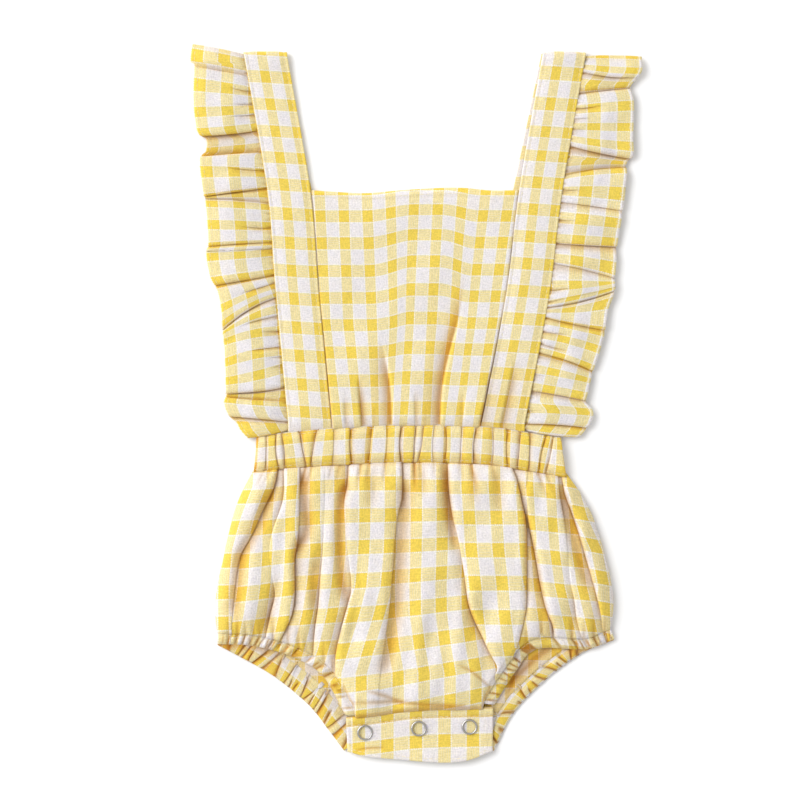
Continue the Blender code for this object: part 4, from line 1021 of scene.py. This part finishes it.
def rolled(share):
    """The height of a rounded edge, from 0 at the edge to 1 where the share is 1."""
    return np.sqrt(np.clip(1 - (1 - np.clip(share, 0, 1)) ** 2, 0, 1))


def fold_lines(waist, hem, down):
    """The sides of the front panel and its folds from left to right, as lines of x, y and drop, with
    the spread of each."""
    left = smooth([waist[0], *SIDE_LEFT, hem[0]])
    right = smooth([waist[-1], *SIDE_RIGHT, hem[-1]])
    sides = [np.column_stack([along(side, down), np.zeros(len(down))]) for side in (left, right)]
    folds = []
    for fold in PANEL_FOLDS:
        route = smooth(fold.route)
        route[:, 1] = np.minimum(route[:, 1], where(waist, 0, route[:, 0])[:, 1])
        folds.append(along(route, down))
    return [sides[0], *folds, sides[1]], [1.0, *[fold.spread for fold in PANEL_FOLDS], 1.0]


def between_folds(first, last, spreads, top, bottom, columns, down):
    """The cloth between two folds: its x, y grid, how far they sink it, how high it stands beside them, how
    far it leans over them, and the painted shade along their creases."""
    first, last = first.copy(), last.copy()
    for line, edge in ((first, 0), (last, -1)):
        shift_top, shift_bottom = top[edge] - line[0, :2], bottom[edge] - line[-1, :2]
        line[:, :2] += (shift_top * ease(1 - down / 0.12)[:, None]
                        + shift_bottom * ease((down - 0.88) / 0.12)[:, None])
    grid = patch(top, bottom, first[:, :2], last[:, :2], columns, down)
    from_first = np.linalg.norm(grid - grid[:, :1], axis=2)
    from_last = np.linalg.norm(grid - grid[:, -1:], axis=2)
    sink = np.zeros(grid.shape[:2])
    crest, lean, crease = sink.copy(), sink.copy(), sink.copy()
    # the drop is positive where this stretch is the high side of the fold
    both_folds = ((first[:, 2:], from_first, spreads[0], 1), (-last[:, 2:], from_last, spreads[1], -1))
    for drop, off, spread, towards in both_folds:
        high, low = np.maximum(drop, 0), np.maximum(-drop, 0)
        wall = high * (1 - ease(off / (0.6 + 0.16 * high)))
        slope = low * np.exp(-(off / spread) ** 1.15)
        sink = (sink ** 3 + (wall + slope) ** 3) ** (1 / 3)
        crest += 0.10 * high * np.exp(-((off - 3.4) / 2.4) ** 2)
        # a painted shade line along the foot of each fold
        shadow_width = 0.8 + 0.4 * (low > 0)
        crease += ease((high + low - 1.0) / 4.0) * np.exp(-(off / shadow_width) ** 2)
        lean += -towards * 0.30 * high * np.exp(-((off - 0.55) / 0.6) ** 2) * ease(off / 0.3)
    roll = 0.9 * (4 * columns * (1 - columns)) ** 0.7 * ease(np.abs(last[:, :1] - first[:, :1]) / 14.0)
    return grid, sink, crest + roll, lean, crease


def front_panel():
    down = np.interp(np.linspace(0, 1, PANEL_ROWS), [0, 0.62, 1], [0, 0.75, 1])
    third = np.searchsorted(down, 1 / 3)
    waist = along(smooth(WAIST_BOTTOM), np.linspace(0, 1, 600)) + [0, UNDERLAP]
    crotch = smooth(CROTCH_TOP) - [0, CROTCH_LAP]
    hem = panel_hem(FRONT_LEG_LEFT, FRONT_LEG_RIGHT, FRONT_CASING, crotch)
    hem = along(hem, np.linspace(0, 1, 1200))
    lines, spreads = fold_lines(waist, hem, down)
    waist_at = [fraction_of(waist, line[0, :2]) for line in lines]
    hem_at = [fraction_of(hem, line[-1, :2]) for line in lines]
    waist_at[0], waist_at[-1], hem_at[0], hem_at[-1] = 0, 1, 0, 1

    names = [None] + [fold.name for fold in PANEL_FOLDS]
    checked = {stretch.after: stretch for stretch in STRETCHES}
    stretch = checked[None]
    parts, stretches = [], []
    for index in range(len(lines) - 1):
        first, last = lines[index], lines[index + 1]
        columns = span_columns(np.abs(last[:, 0] - first[:, 0]).max())
        top = along(waist, waist_at[index] + (waist_at[index + 1] - waist_at[index]) * columns)
        bottom = along(hem, hem_at[index] + (hem_at[index + 1] - hem_at[index]) * columns)
        part = between_folds(first, last, spreads[index:index + 2], top, bottom, columns, down)
        stretch = checked.get(names[index], stretch)
        keep = slice(0, None) if index == len(lines) - 2 else slice(0, -1)
        if index and stretch.after == names[index] and first[third, 2] > 0:
            owner = [stretches[-1]] + [stretch] * (len(columns) - 1)
        else:
            owner = [stretch] * len(columns)
        stretches += owner[keep]
        parts.append([item[:, keep] for item in part])
    grid, sink, crest, lean, crease = [np.hstack(items) for items in zip(*parts)]
    x, y = grid[..., 0], grid[..., 1]

    weave = check_at(x, y, stretches)
    side_gap = np.minimum(x - x[:, :1], x[:, -1:] - x)
    hem_gap = np.linalg.norm(grid - grid[-1:], axis=2)
    waist_gap = np.linalg.norm(grid - grid[:1], axis=2)
    from_waist = waist_gap - UNDERLAP
    gathers = np.zeros_like(x)
    for gather in WAIST_GATHERS:
        fan = gather.x + 0.05 * (gather.x + 8.0) * from_waist / 10.0
        line = np.exp(-(np.abs(x - fan) / (0.9 + 0.06 * waist_gap)) ** 1.6)
        gathers += gather.depth * line * ease(1 - from_waist / (7.0 + 8.0 * gather.depth))
    for gather in HEM_GATHERS:
        line = np.exp(-(np.abs(x - gather.x) / (0.9 + 0.06 * hem_gap)) ** 1.6)
        gathers += gather.depth * line * ease(1 - hem_gap / (8.0 + 8.0 * gather.depth))
    across = crossed(grid, CROTCH_CREASES)
    gathers += across
    side_rise = rolled(side_gap / SIDE_ROLL)
    waist_rise, hem_rise = rolled(from_waist / WAIST_ROLL), rolled(hem_gap / HEM_ROLL)
    trough = sag(grid, PANEL_TROUGHS)
    loose = slack(grid, 41, 0.6, 14.0, 50.0)
    drag = slack(grid * [1, 0.3], 43, 0.9, 9.0, 26.0)
    body = (PUFF + crest + loose + drag) * side_rise
    body *= (0.20 + 0.80 * waist_rise) * (0.28 + 0.72 * hem_rise)
    floor = FRONT_TOP - 0.3 + 0.5 * down[:, None]
    height = floor + np.maximum(body - (sink + trough) * (0.30 + 0.70 * side_rise) - gathers, -0.2)
    height = PANEL_UNDER_BAND + (height - PANEL_UNDER_BAND) * ease((from_waist + 1.0) / 2.0)
    height -= 1.0 * ease(1.4 - hem_gap / CROTCH_LAP) * (np.abs(x) < 37)
    grid[..., 0] += lean * side_rise
    points = raised(grid, height)
    # Painted shade: in the folds and along their creases, in the gathers and troughs, on the steep sides,
    # under the waistband's edge, and a painted shadow beside the crotch band.
    painted_band_shadow = seam_dip(np.maximum(hem_gap - CROTCH_LAP, 0), 1.0, 1.3) * (np.abs(x) < 44)
    painted_shade = (0.50 * np.clip(sink / 5.0, 0, 1) ** 1.1 + 0.60 * crease + 0.44 * gathers + 0.30 * across
              + 0.24 * trough + 0.16 * (1 - side_rise) + 0.25 * seam_dip(from_waist, 1.0, 0.8)
              + 0.5 * painted_band_shadow)
    piece = cloth("bloomer_front_cloth", "bloomer_front", points, weave, CLOTH_WALL, painted_shade)
    return points, gathers[-1], stretches


# The back panel shows only in the leg openings, where it sags a little and lies in the front's shade, which
# is painted on, deeper in its troughs.
BACK_TROUGHS = [
    Trough(2.0, 1.6, [(84.0, -141.0), (70.0, -152.0), (57.0, -166.0)]),
    Trough(1.6, 1.4, [(66.0, -149.0), (60.0, -158.0), (55.0, -172.0)]),
    Trough(1.8, 1.2, [(-100.0, -147.0), (-80.0, -156.0), (-66.0, -166.0)])]


def back_panel():
    waist = along(smooth(WAIST_BOTTOM), np.linspace(0, 1, 90)) - [0, SEAM_GAP]
    crotch = np.column_stack([np.linspace(-60, 60, 200), np.full(200, BACK_CROTCH_Y)])
    hem = along(panel_hem(BACK_LEG_LEFT, BACK_LEG_RIGHT, BACK_CASING, crotch), np.linspace(0, 1, 90))
    down = np.linspace(0, 1, 50)
    left = along(smooth([waist[0], *SIDE_LEFT, hem[0]]), down)
    right = along(smooth([waist[-1], *SIDE_RIGHT, hem[-1]]), down)
    grid = patch(waist, hem, left, right)
    trough = sag(grid, BACK_TROUGHS)
    points = raised(grid, PANEL_BACK_TOP - 0.4 * trough)
    # painted shade over all of it, more in the troughs
    painted_shade = 0.30 + 0.35 * trough
    piece = cloth("bloomer_back_cloth", "bloomer_back", points, plain_check(grid), PANEL_BACK_WALL, painted_shade)


panel_points, panel_gathers, panel_stretches = front_panel()
back_panel()

# ------------------------------------------------------------------------------ the leg casings
# Each leg opening is a narrow casing over elastic, turned to the wrong side and stitched. Drawn up,
# it scrunches into small folds. The back half lies on the table under the front half.
LEG_FLOOR = 2.4             # the front casing's lower edge
CASING_WALL = 0.5
LAP_ROWS = 6                # rows of the panel that the front casing lies under
CASING_ROWS = 12
CASING_STITCH = 1.6         # the stitched row, counted from the top of the casing
BACK_LINES = 14             # grid lines from edge to edge
CROWDED_STRIPE = 11.0       # the scrunched back cloth shows a stripe this often
BACK_FLOOR = 0.7            # the bottom of its creases
BACK_RISE = 2.4             # and how far its folds stand over them
BACK_SEAM = 1.72            # its height where it meets the back panel
BACK_LAP = 2.5              # and how far it reaches under that panel
Casing = namedtuple("Casing", "side leg flat")      # flat is the cut's length and width in metres


def front_casing(casing):
    """Carries the gathers of the panel on over the elastic, from the panel's own lower edge."""
    hem = panel_points[-1]
    width = FRONT_CASING[casing.side]
    outer, _, panel_edge = leg_edges(casing.leg, width)
    away = np.linalg.norm(hem[:, None, :2] - panel_edge[None], axis=2).min(axis=1)
    by_crotch = np.linalg.norm(hem[:, :2] - panel_edge[-1], axis=1) < 3.4
    own = np.flatnonzero((away < 0.4) | by_crotch)
    hem, gathers = hem[own], panel_gathers[own]
    stretches = [panel_stretches[index] for index in own]
    share = run_of(hem[:, :2])
    share /= share[-1]
    edge = along(outer if casing.side == "left" else outer[::-1], share)
    down = np.linspace(0, 1, CASING_ROWS)[:, None]
    grid = hem[None, :, :2] + (edge - hem[:, :2])[None] * down[..., None]
    rounded = 1 - 0.75 * ease((down - 0.62) / 0.38)
    bulge = 0.5 * np.sin(np.pi * down) - 1.1 * gathers * np.sin(np.pi * down) ** 0.6
    height = LEG_FLOOR + (hem[:, 2] + bulge - LEG_FLOOR) * rounded
    run = run_of(grid[5])
    draw = np.random.default_rng(len(own))
    creases = np.cumsum(draw.uniform(2.2, 5.0, 40))
    lean = draw.uniform(-1.4, 1.4, 40)
    pinch = np.zeros(height.shape)
    for place, slant in zip(creases[creases < run[-1] - 1.5], lean):
        off = run - place - slant * (down - 0.5)
        pinch = np.maximum(pinch, draw.uniform(0.5, 1.0) * np.exp(-(off / 0.55) ** 2))
    pinch *= 0.45 + 0.55 * np.sin(np.pi * down)
    height -= 0.8 * pinch
    lap = panel_points[-1 - LAP_ROWS:-1, own].copy()
    lap[..., 2] -= np.linspace(0.9, 0.07, LAP_ROWS)[:, None]
    points = np.concatenate([lap, raised(grid, height + 0.06)])
    weave = check_at(points[..., 0], points[..., 1], stretches)
    # Painted shade: in the panel's gathers, in the pinches, and towards the lower edge.
    painted_shade = 0.60 * gathers + 0.12 * ease((down - 0.8) / 0.2) + 1.25 * pinch
    painted_shade = np.concatenate([np.repeat(painted_shade[:1], LAP_ROWS, axis=0), painted_shade])
    node = "leg_casing_front_" + casing.side
    stitch_line = line_across(points, LAP_ROWS + CASING_STITCH)
    stitches = stitching("leg_stitches_front_" + casing.side, node, [stitch_line])
    piece = cloth("leg_casing_cloth_front_" + casing.side, node, points, weave, CASING_WALL, painted_shade)


def back_casing(casing, count, seed):
    """The back half of a casing, scrunched flat on the table, with its gathers crowded and uneven."""
    outer, inner, _ = leg_edges(casing.leg, BACK_CASING[casing.side])
    draw = np.random.default_rng(seed)
    columns = np.linspace(0, 1, BACK_LINES)
    steps = draw.uniform(0.4, 1.6, count - 1)
    places = added_up(steps)[:, None] / steps.sum() + 0 * columns
    places[1:-1] += draw.normal(0, 0.3 / count, (count - 2, 1)) * np.linspace(-1, 1, BACK_LINES)
    reach = draw.uniform(0.45, 1.6, (count, 1))
    depths = draw.uniform(0.6, 1.0, (count, 1)) * ease((reach - 1 + columns) / 0.35)
    edge = 0.35 + 0.65 * np.sin(np.pi * np.clip(columns * 1.05, 0, 1)) ** 0.6
    length = np.linalg.norm(np.diff(outer, axis=0), axis=1).sum()
    tops = BACK_FLOOR + BACK_RISE * edge * draw.uniform(0.6, 1.1, (count - 1, 1))
    over = np.where(np.arange(count) % 3 == 1, -1, 1)
    place, height, dark = gathered(places * length, depths, tops, BACK_FLOOR, 1.0, over)
    share = np.clip(place / length, 0, 1)
    low = np.array([along(outer, line) for line in share.T])
    high = np.array([along(inner, line) for line in share.T])
    by_panel = 1 - ease(columns / 0.3)[:, None]
    level = height.T + (BACK_SEAM - height.T) * by_panel
    points = raised(high + (low - high) * columns[:, None, None], level)
    inward = (high - low) / np.linalg.norm(high - low, axis=2, keepdims=True)
    lap = raised(high + BACK_LAP * inward, 1.2)[:1]
    points = np.concatenate([lap, points])
    run = added_up(np.linalg.norm(np.diff(points, axis=1), axis=2).mean(axis=0))
    down = np.concatenate([[-0.2], columns])[:, None]
    weave = counted(run[None, :] / CROWDED_STRIPE + 0.3 * seed, down * 0.6 + 0.1 * seed)
    # Painted shade: in the creases, less by the panel, faintly everywhere, and a painted shadow under the
    # front casing's hem that is stronger towards the outer sides.
    painted_shade = 1.5 * dark.T * (1 - 0.6 * by_panel) + 0.06
    painted_shade = np.concatenate([painted_shade[:1], painted_shade])
    front_edge = smooth(FRONT_LEG_LEFT if casing.side == "left" else FRONT_LEG_RIGHT)[::2]
    from_front = np.linalg.norm(points[:, :, None, :2] - front_edge, axis=3).min(axis=2)
    painted_hem_shadow = np.exp(-(from_front / 3.6) ** 1.6)
    painted_shade = painted_shade + (0.18 + 0.50 * ease((np.abs(points[..., 0]) - 72.0) / 20.0)) * painted_hem_shadow
    if casing.side == "right":
        points, weave, painted_shade = other_way(points, weave, painted_shade)
    node = "leg_casing_back_" + casing.side
    piece = cloth("leg_casing_cloth_back_" + casing.side, node, points, weave, CASING_WALL, painted_shade)


front_casing(Casing("left", FRONT_LEG_LEFT, (0.098, 0.010)))
front_casing(Casing("right", FRONT_LEG_RIGHT, (0.090, 0.010)))
back_casing(Casing("left", BACK_LEG_LEFT, (0.140, 0.017)), 21, 55)
back_casing(Casing("right", BACK_LEG_RIGHT, (0.135, 0.010)), 17, 57)

# ------------------------------------------------------------------------------ the snap placket
# The front crotch band laps over the back band and closes with three snaps. It is a doubled strip,
# turned in and stitched, and its upper edge shows as a pair of tucks across the panel.
CROTCH_BOTTOM = [(-41.4, -206.8), (-30.0, -209.6), (-10.0, -211.6), (14.0, -213.4), (30.0, -212.2),
                 (45.6, -206.6)]
BAND_TOP = 4.1              # the right side of the front band
BAND_STRIPES = (17.1, 17.7)     # the spacing of its check, across and down
BAND_BACK_TOP = 2.0
BAND_BACK_WALL = 1.6
BAND_ROWS = 36
BAND_COLUMNS = 110
EDGE_STITCH = 2.2           # from the lower edge and the ends
TUCK_STITCH = 5.5           # from the upper edge
SNAP_DENT = 0.35            # the ring presses the band in this far
BAND_CREASES = [Trough(0.8, 0.6, [(-35.0, -205.6), (-28.5, -204.6), (-20.0, -204.3)])]
Snap = namedtuple("Snap", "name x y")
SNAPS = [Snap("left", -30.9, -195.2), Snap("centre", 1.3, -192.8), Snap("right", 31.7, -191.8)]


def front_band():
    across = np.linspace(0, 1, BAND_COLUMNS)
    top, bottom = along(smooth(CROTCH_TOP), across), along(smooth(CROTCH_BOTTOM), across)
    down = np.linspace(0, 1, BAND_ROWS)[:, None, None]
    grid = top + (bottom - top) * down
    x, y = grid[..., 0], grid[..., 1]
    from_top, from_bottom = top[:, 1] - y, y - bottom[:, 1]
    from_side = np.minimum(x - x[:, :1], x[:, -1:] - x)
    edge = np.minimum(from_bottom, from_side)
    height = BAND_TOP + 0.6 * ease(edge / 1.2) - seam_dip(edge - EDGE_STITCH, 0.3)
    height += slack(grid, 61, 0.35, 10, 30)
    height += 0.7 * ease(1 - from_top / 5.0) - seam_dip(from_top - TUCK_STITCH, 0.5)
    height -= 1.6 * ease(1 - from_top / 2.2)
    for place in SNAPS:
        off = np.hypot(x - place.x, y - place.y)
        height -= SNAP_DENT * np.exp(-(off / 5.5) ** 4)
    creased = crossed(grid, BAND_CREASES)
    height -= creased
    weave = np.dstack([8 + (x + 0.4) / BAND_STRIPES[0], (from_top - 2.2) / BAND_STRIPES[1]])
    points = raised(grid, height)
    sewn = points[:, 3:-3]
    depth = np.linalg.norm(sewn[-1] - sewn[0], axis=1)
    both_lines = [line_across(sewn, (BAND_ROWS - 1) * (1 - EDGE_STITCH / depth)),
                  line_across(sewn, (BAND_ROWS - 1) * TUCK_STITCH / depth)]
    stitches = stitching("crotch_stitches", "crotch_band_front", both_lines)
    # Painted shade: along the tuck stitching, at the top edge where the panel meets the band, and in the
    # creases.
    painted_shade = 0.4 * seam_dip(from_top - TUCK_STITCH, 1.0, 0.6) + 0.7 * seam_dip(from_top, 1.0, 0.9)
    painted_shade += 1.2 * creased
    piece = cloth("crotch_cloth_front", "crotch_band_front", points, weave, CLOTH_WALL, painted_shade)


def back_band():
    left = leg_edges(BACK_LEG_LEFT, BACK_CASING["left"])[2]
    right = leg_edges(BACK_LEG_RIGHT, BACK_CASING["right"])[2]
    down = np.linspace(BACK_CROTCH_Y - SEAM_GAP, max(left[-1, 1], right[-1, 1]), 12)
    left, right = where(left, 1, down), where(right, 1, down)
    ends = [np.linspace(left[row], right[row], 30) for row in (0, -1)]
    grid = patch(*ends, left, right)
    piece = cloth("crotch_cloth_back", "crotch_band_back", raised(grid, BAND_BACK_TOP), plain_check(grid),
                  BAND_BACK_WALL)


front_band()
back_band()

# ------------------------------------------------------------------------------ the snaps
# Open-ring prong snaps of bright steel, 9.5 mm across. The ring is pressed through the front band,
# and the cloth shows in its middle.
SNAP_TOP = 5.6              # where the ring's foot meets the band
RING_SIDES = 56
STEEL_GREY = (0.46, 0.45, 0.44, 1)
STEEL_ROUGHNESS = (0.18, 0.34)
# the ring in section: the distance from its middle and the height
RING_PROFILE = [(3.6, -0.9), (3.6, -0.3), (3.7, 0.10), (3.95, 0.32), (4.3, 0.32), (4.6, 0.1), (4.72, -0.2),
                (4.75, -0.9)]


def snap_metal():
    made = bpy.data.materials.new("snap_steel")
    made.use_nodes = True
    nodes, links = made.node_tree.nodes, made.node_tree.links
    shader = nodes["Principled BSDF"]
    shader.inputs["Base Color"].default_value = STEEL_GREY
    shader.inputs["Metallic"].default_value = 1.0
    brushed = nodes.new("ShaderNodeTexNoise")
    brushed.inputs["Scale"].default_value = 900.0
    spread = nodes.new("ShaderNodeMapRange")
    spread.inputs[3].default_value, spread.inputs[4].default_value = STEEL_ROUGHNESS
    links.new(brushed.outputs["Fac"], spread.inputs[0])
    links.new(spread.outputs[0], shader.inputs["Roughness"])
    return made


def snap(place, finish):
    ring = bmesh.new()
    circles = []
    for turn in range(RING_SIDES):
        angle = 2 * np.pi * turn / RING_SIDES
        circle = []
        for radius, rise in RING_PROFILE:
            x, y = place.x + radius * np.cos(angle), place.y + radius * np.sin(angle)
            circle.append(ring.verts.new((x * MM, y * MM, (SNAP_TOP + rise) * MM)))
        circles.append(circle)
    for turn in range(RING_SIDES):
        here, there = circles[turn], circles[(turn + 1) % RING_SIDES]
        for step in range(len(RING_PROFILE)):
            after = (step + 1) % len(RING_PROFILE)
            ring.faces.new((here[step], here[after], there[after], there[step]))
    bmesh.ops.recalc_face_normals(ring, faces=ring.faces)
    mesh = bpy.data.meshes.new("snap_ring_" + place.name)
    ring.to_mesh(mesh)
    ring.free()
    mesh.shade_smooth()
    mesh.materials.append(finish)
    piece = bpy.data.objects.new(mesh.name, mesh)
    bpy.context.collection.objects.link(piece)
    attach(piece, "root")
    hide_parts("snap_" + place.name)


steel = snap_metal()
for snap_place in SNAPS:
    snap(snap_place, steel)

# ------------------------------------------------------------------------------ table, light, camera
# The garment lies on a plain white table, under one large soft light from its upper left and an
# even white surround, and the camera looks straight down at it.
TABLE_HALF = 3.0            # metres, as are the places below
TABLE_TOP = -0.0002
TABLE_WHITE = (0.93, 0.93, 0.93, 1)
ROOM_STRENGTH = 0.74
LAMP_POWER = 244.0
LAMP_SIZE = 4.0
LAMP_PLACE = Vector((-3.2, 1.8, 3.0))
CAMERA_PLACE = (-0.0099, 0.0039, 2.4)
LENS = 180.0
FILM_WIDTH = 36.0

table = bpy.data.meshes.new("table")
surface = bmesh.new()
bmesh.ops.create_grid(surface, x_segments=1, y_segments=1, size=TABLE_HALF)
surface.to_mesh(table)
surface.free()
white = bpy.data.materials.new("table_white")
white.use_nodes = True
paint = white.node_tree.nodes["Principled BSDF"]
paint.inputs["Base Color"].default_value = TABLE_WHITE
paint.inputs["Roughness"].default_value = 0.9
table.materials.append(white)
floor = bpy.data.objects.new("table", table)
floor.location.z = TABLE_TOP
bpy.context.collection.objects.link(floor)

world = bpy.data.worlds.new("studio")
world.use_nodes = True
room = world.node_tree.nodes["Background"]
room.inputs["Color"].default_value = (1.0, 1.0, 1.0, 1)
room.inputs["Strength"].default_value = ROOM_STRENGTH
bpy.context.scene.world = world

lamp = bpy.data.lights.new("key", 'AREA')
lamp.energy = LAMP_POWER
lamp.size = LAMP_SIZE
lamp_holder = bpy.data.objects.new("key", lamp)
lamp_holder.location = LAMP_PLACE
lamp_holder.rotation_euler = (-LAMP_PLACE).to_track_quat('-Z', 'Y').to_euler()
bpy.context.collection.objects.link(lamp_holder)

camera = bpy.data.cameras.new("camera")
camera.lens = LENS
camera.sensor_width = FILM_WIDTH
camera_object = bpy.data.objects.new("camera", camera)
camera_object.location = CAMERA_PLACE
bpy.context.collection.objects.link(camera_object)
bpy.context.scene.camera = camera_object
bpy.context.scene.view_settings.view_transform = 'Standard'
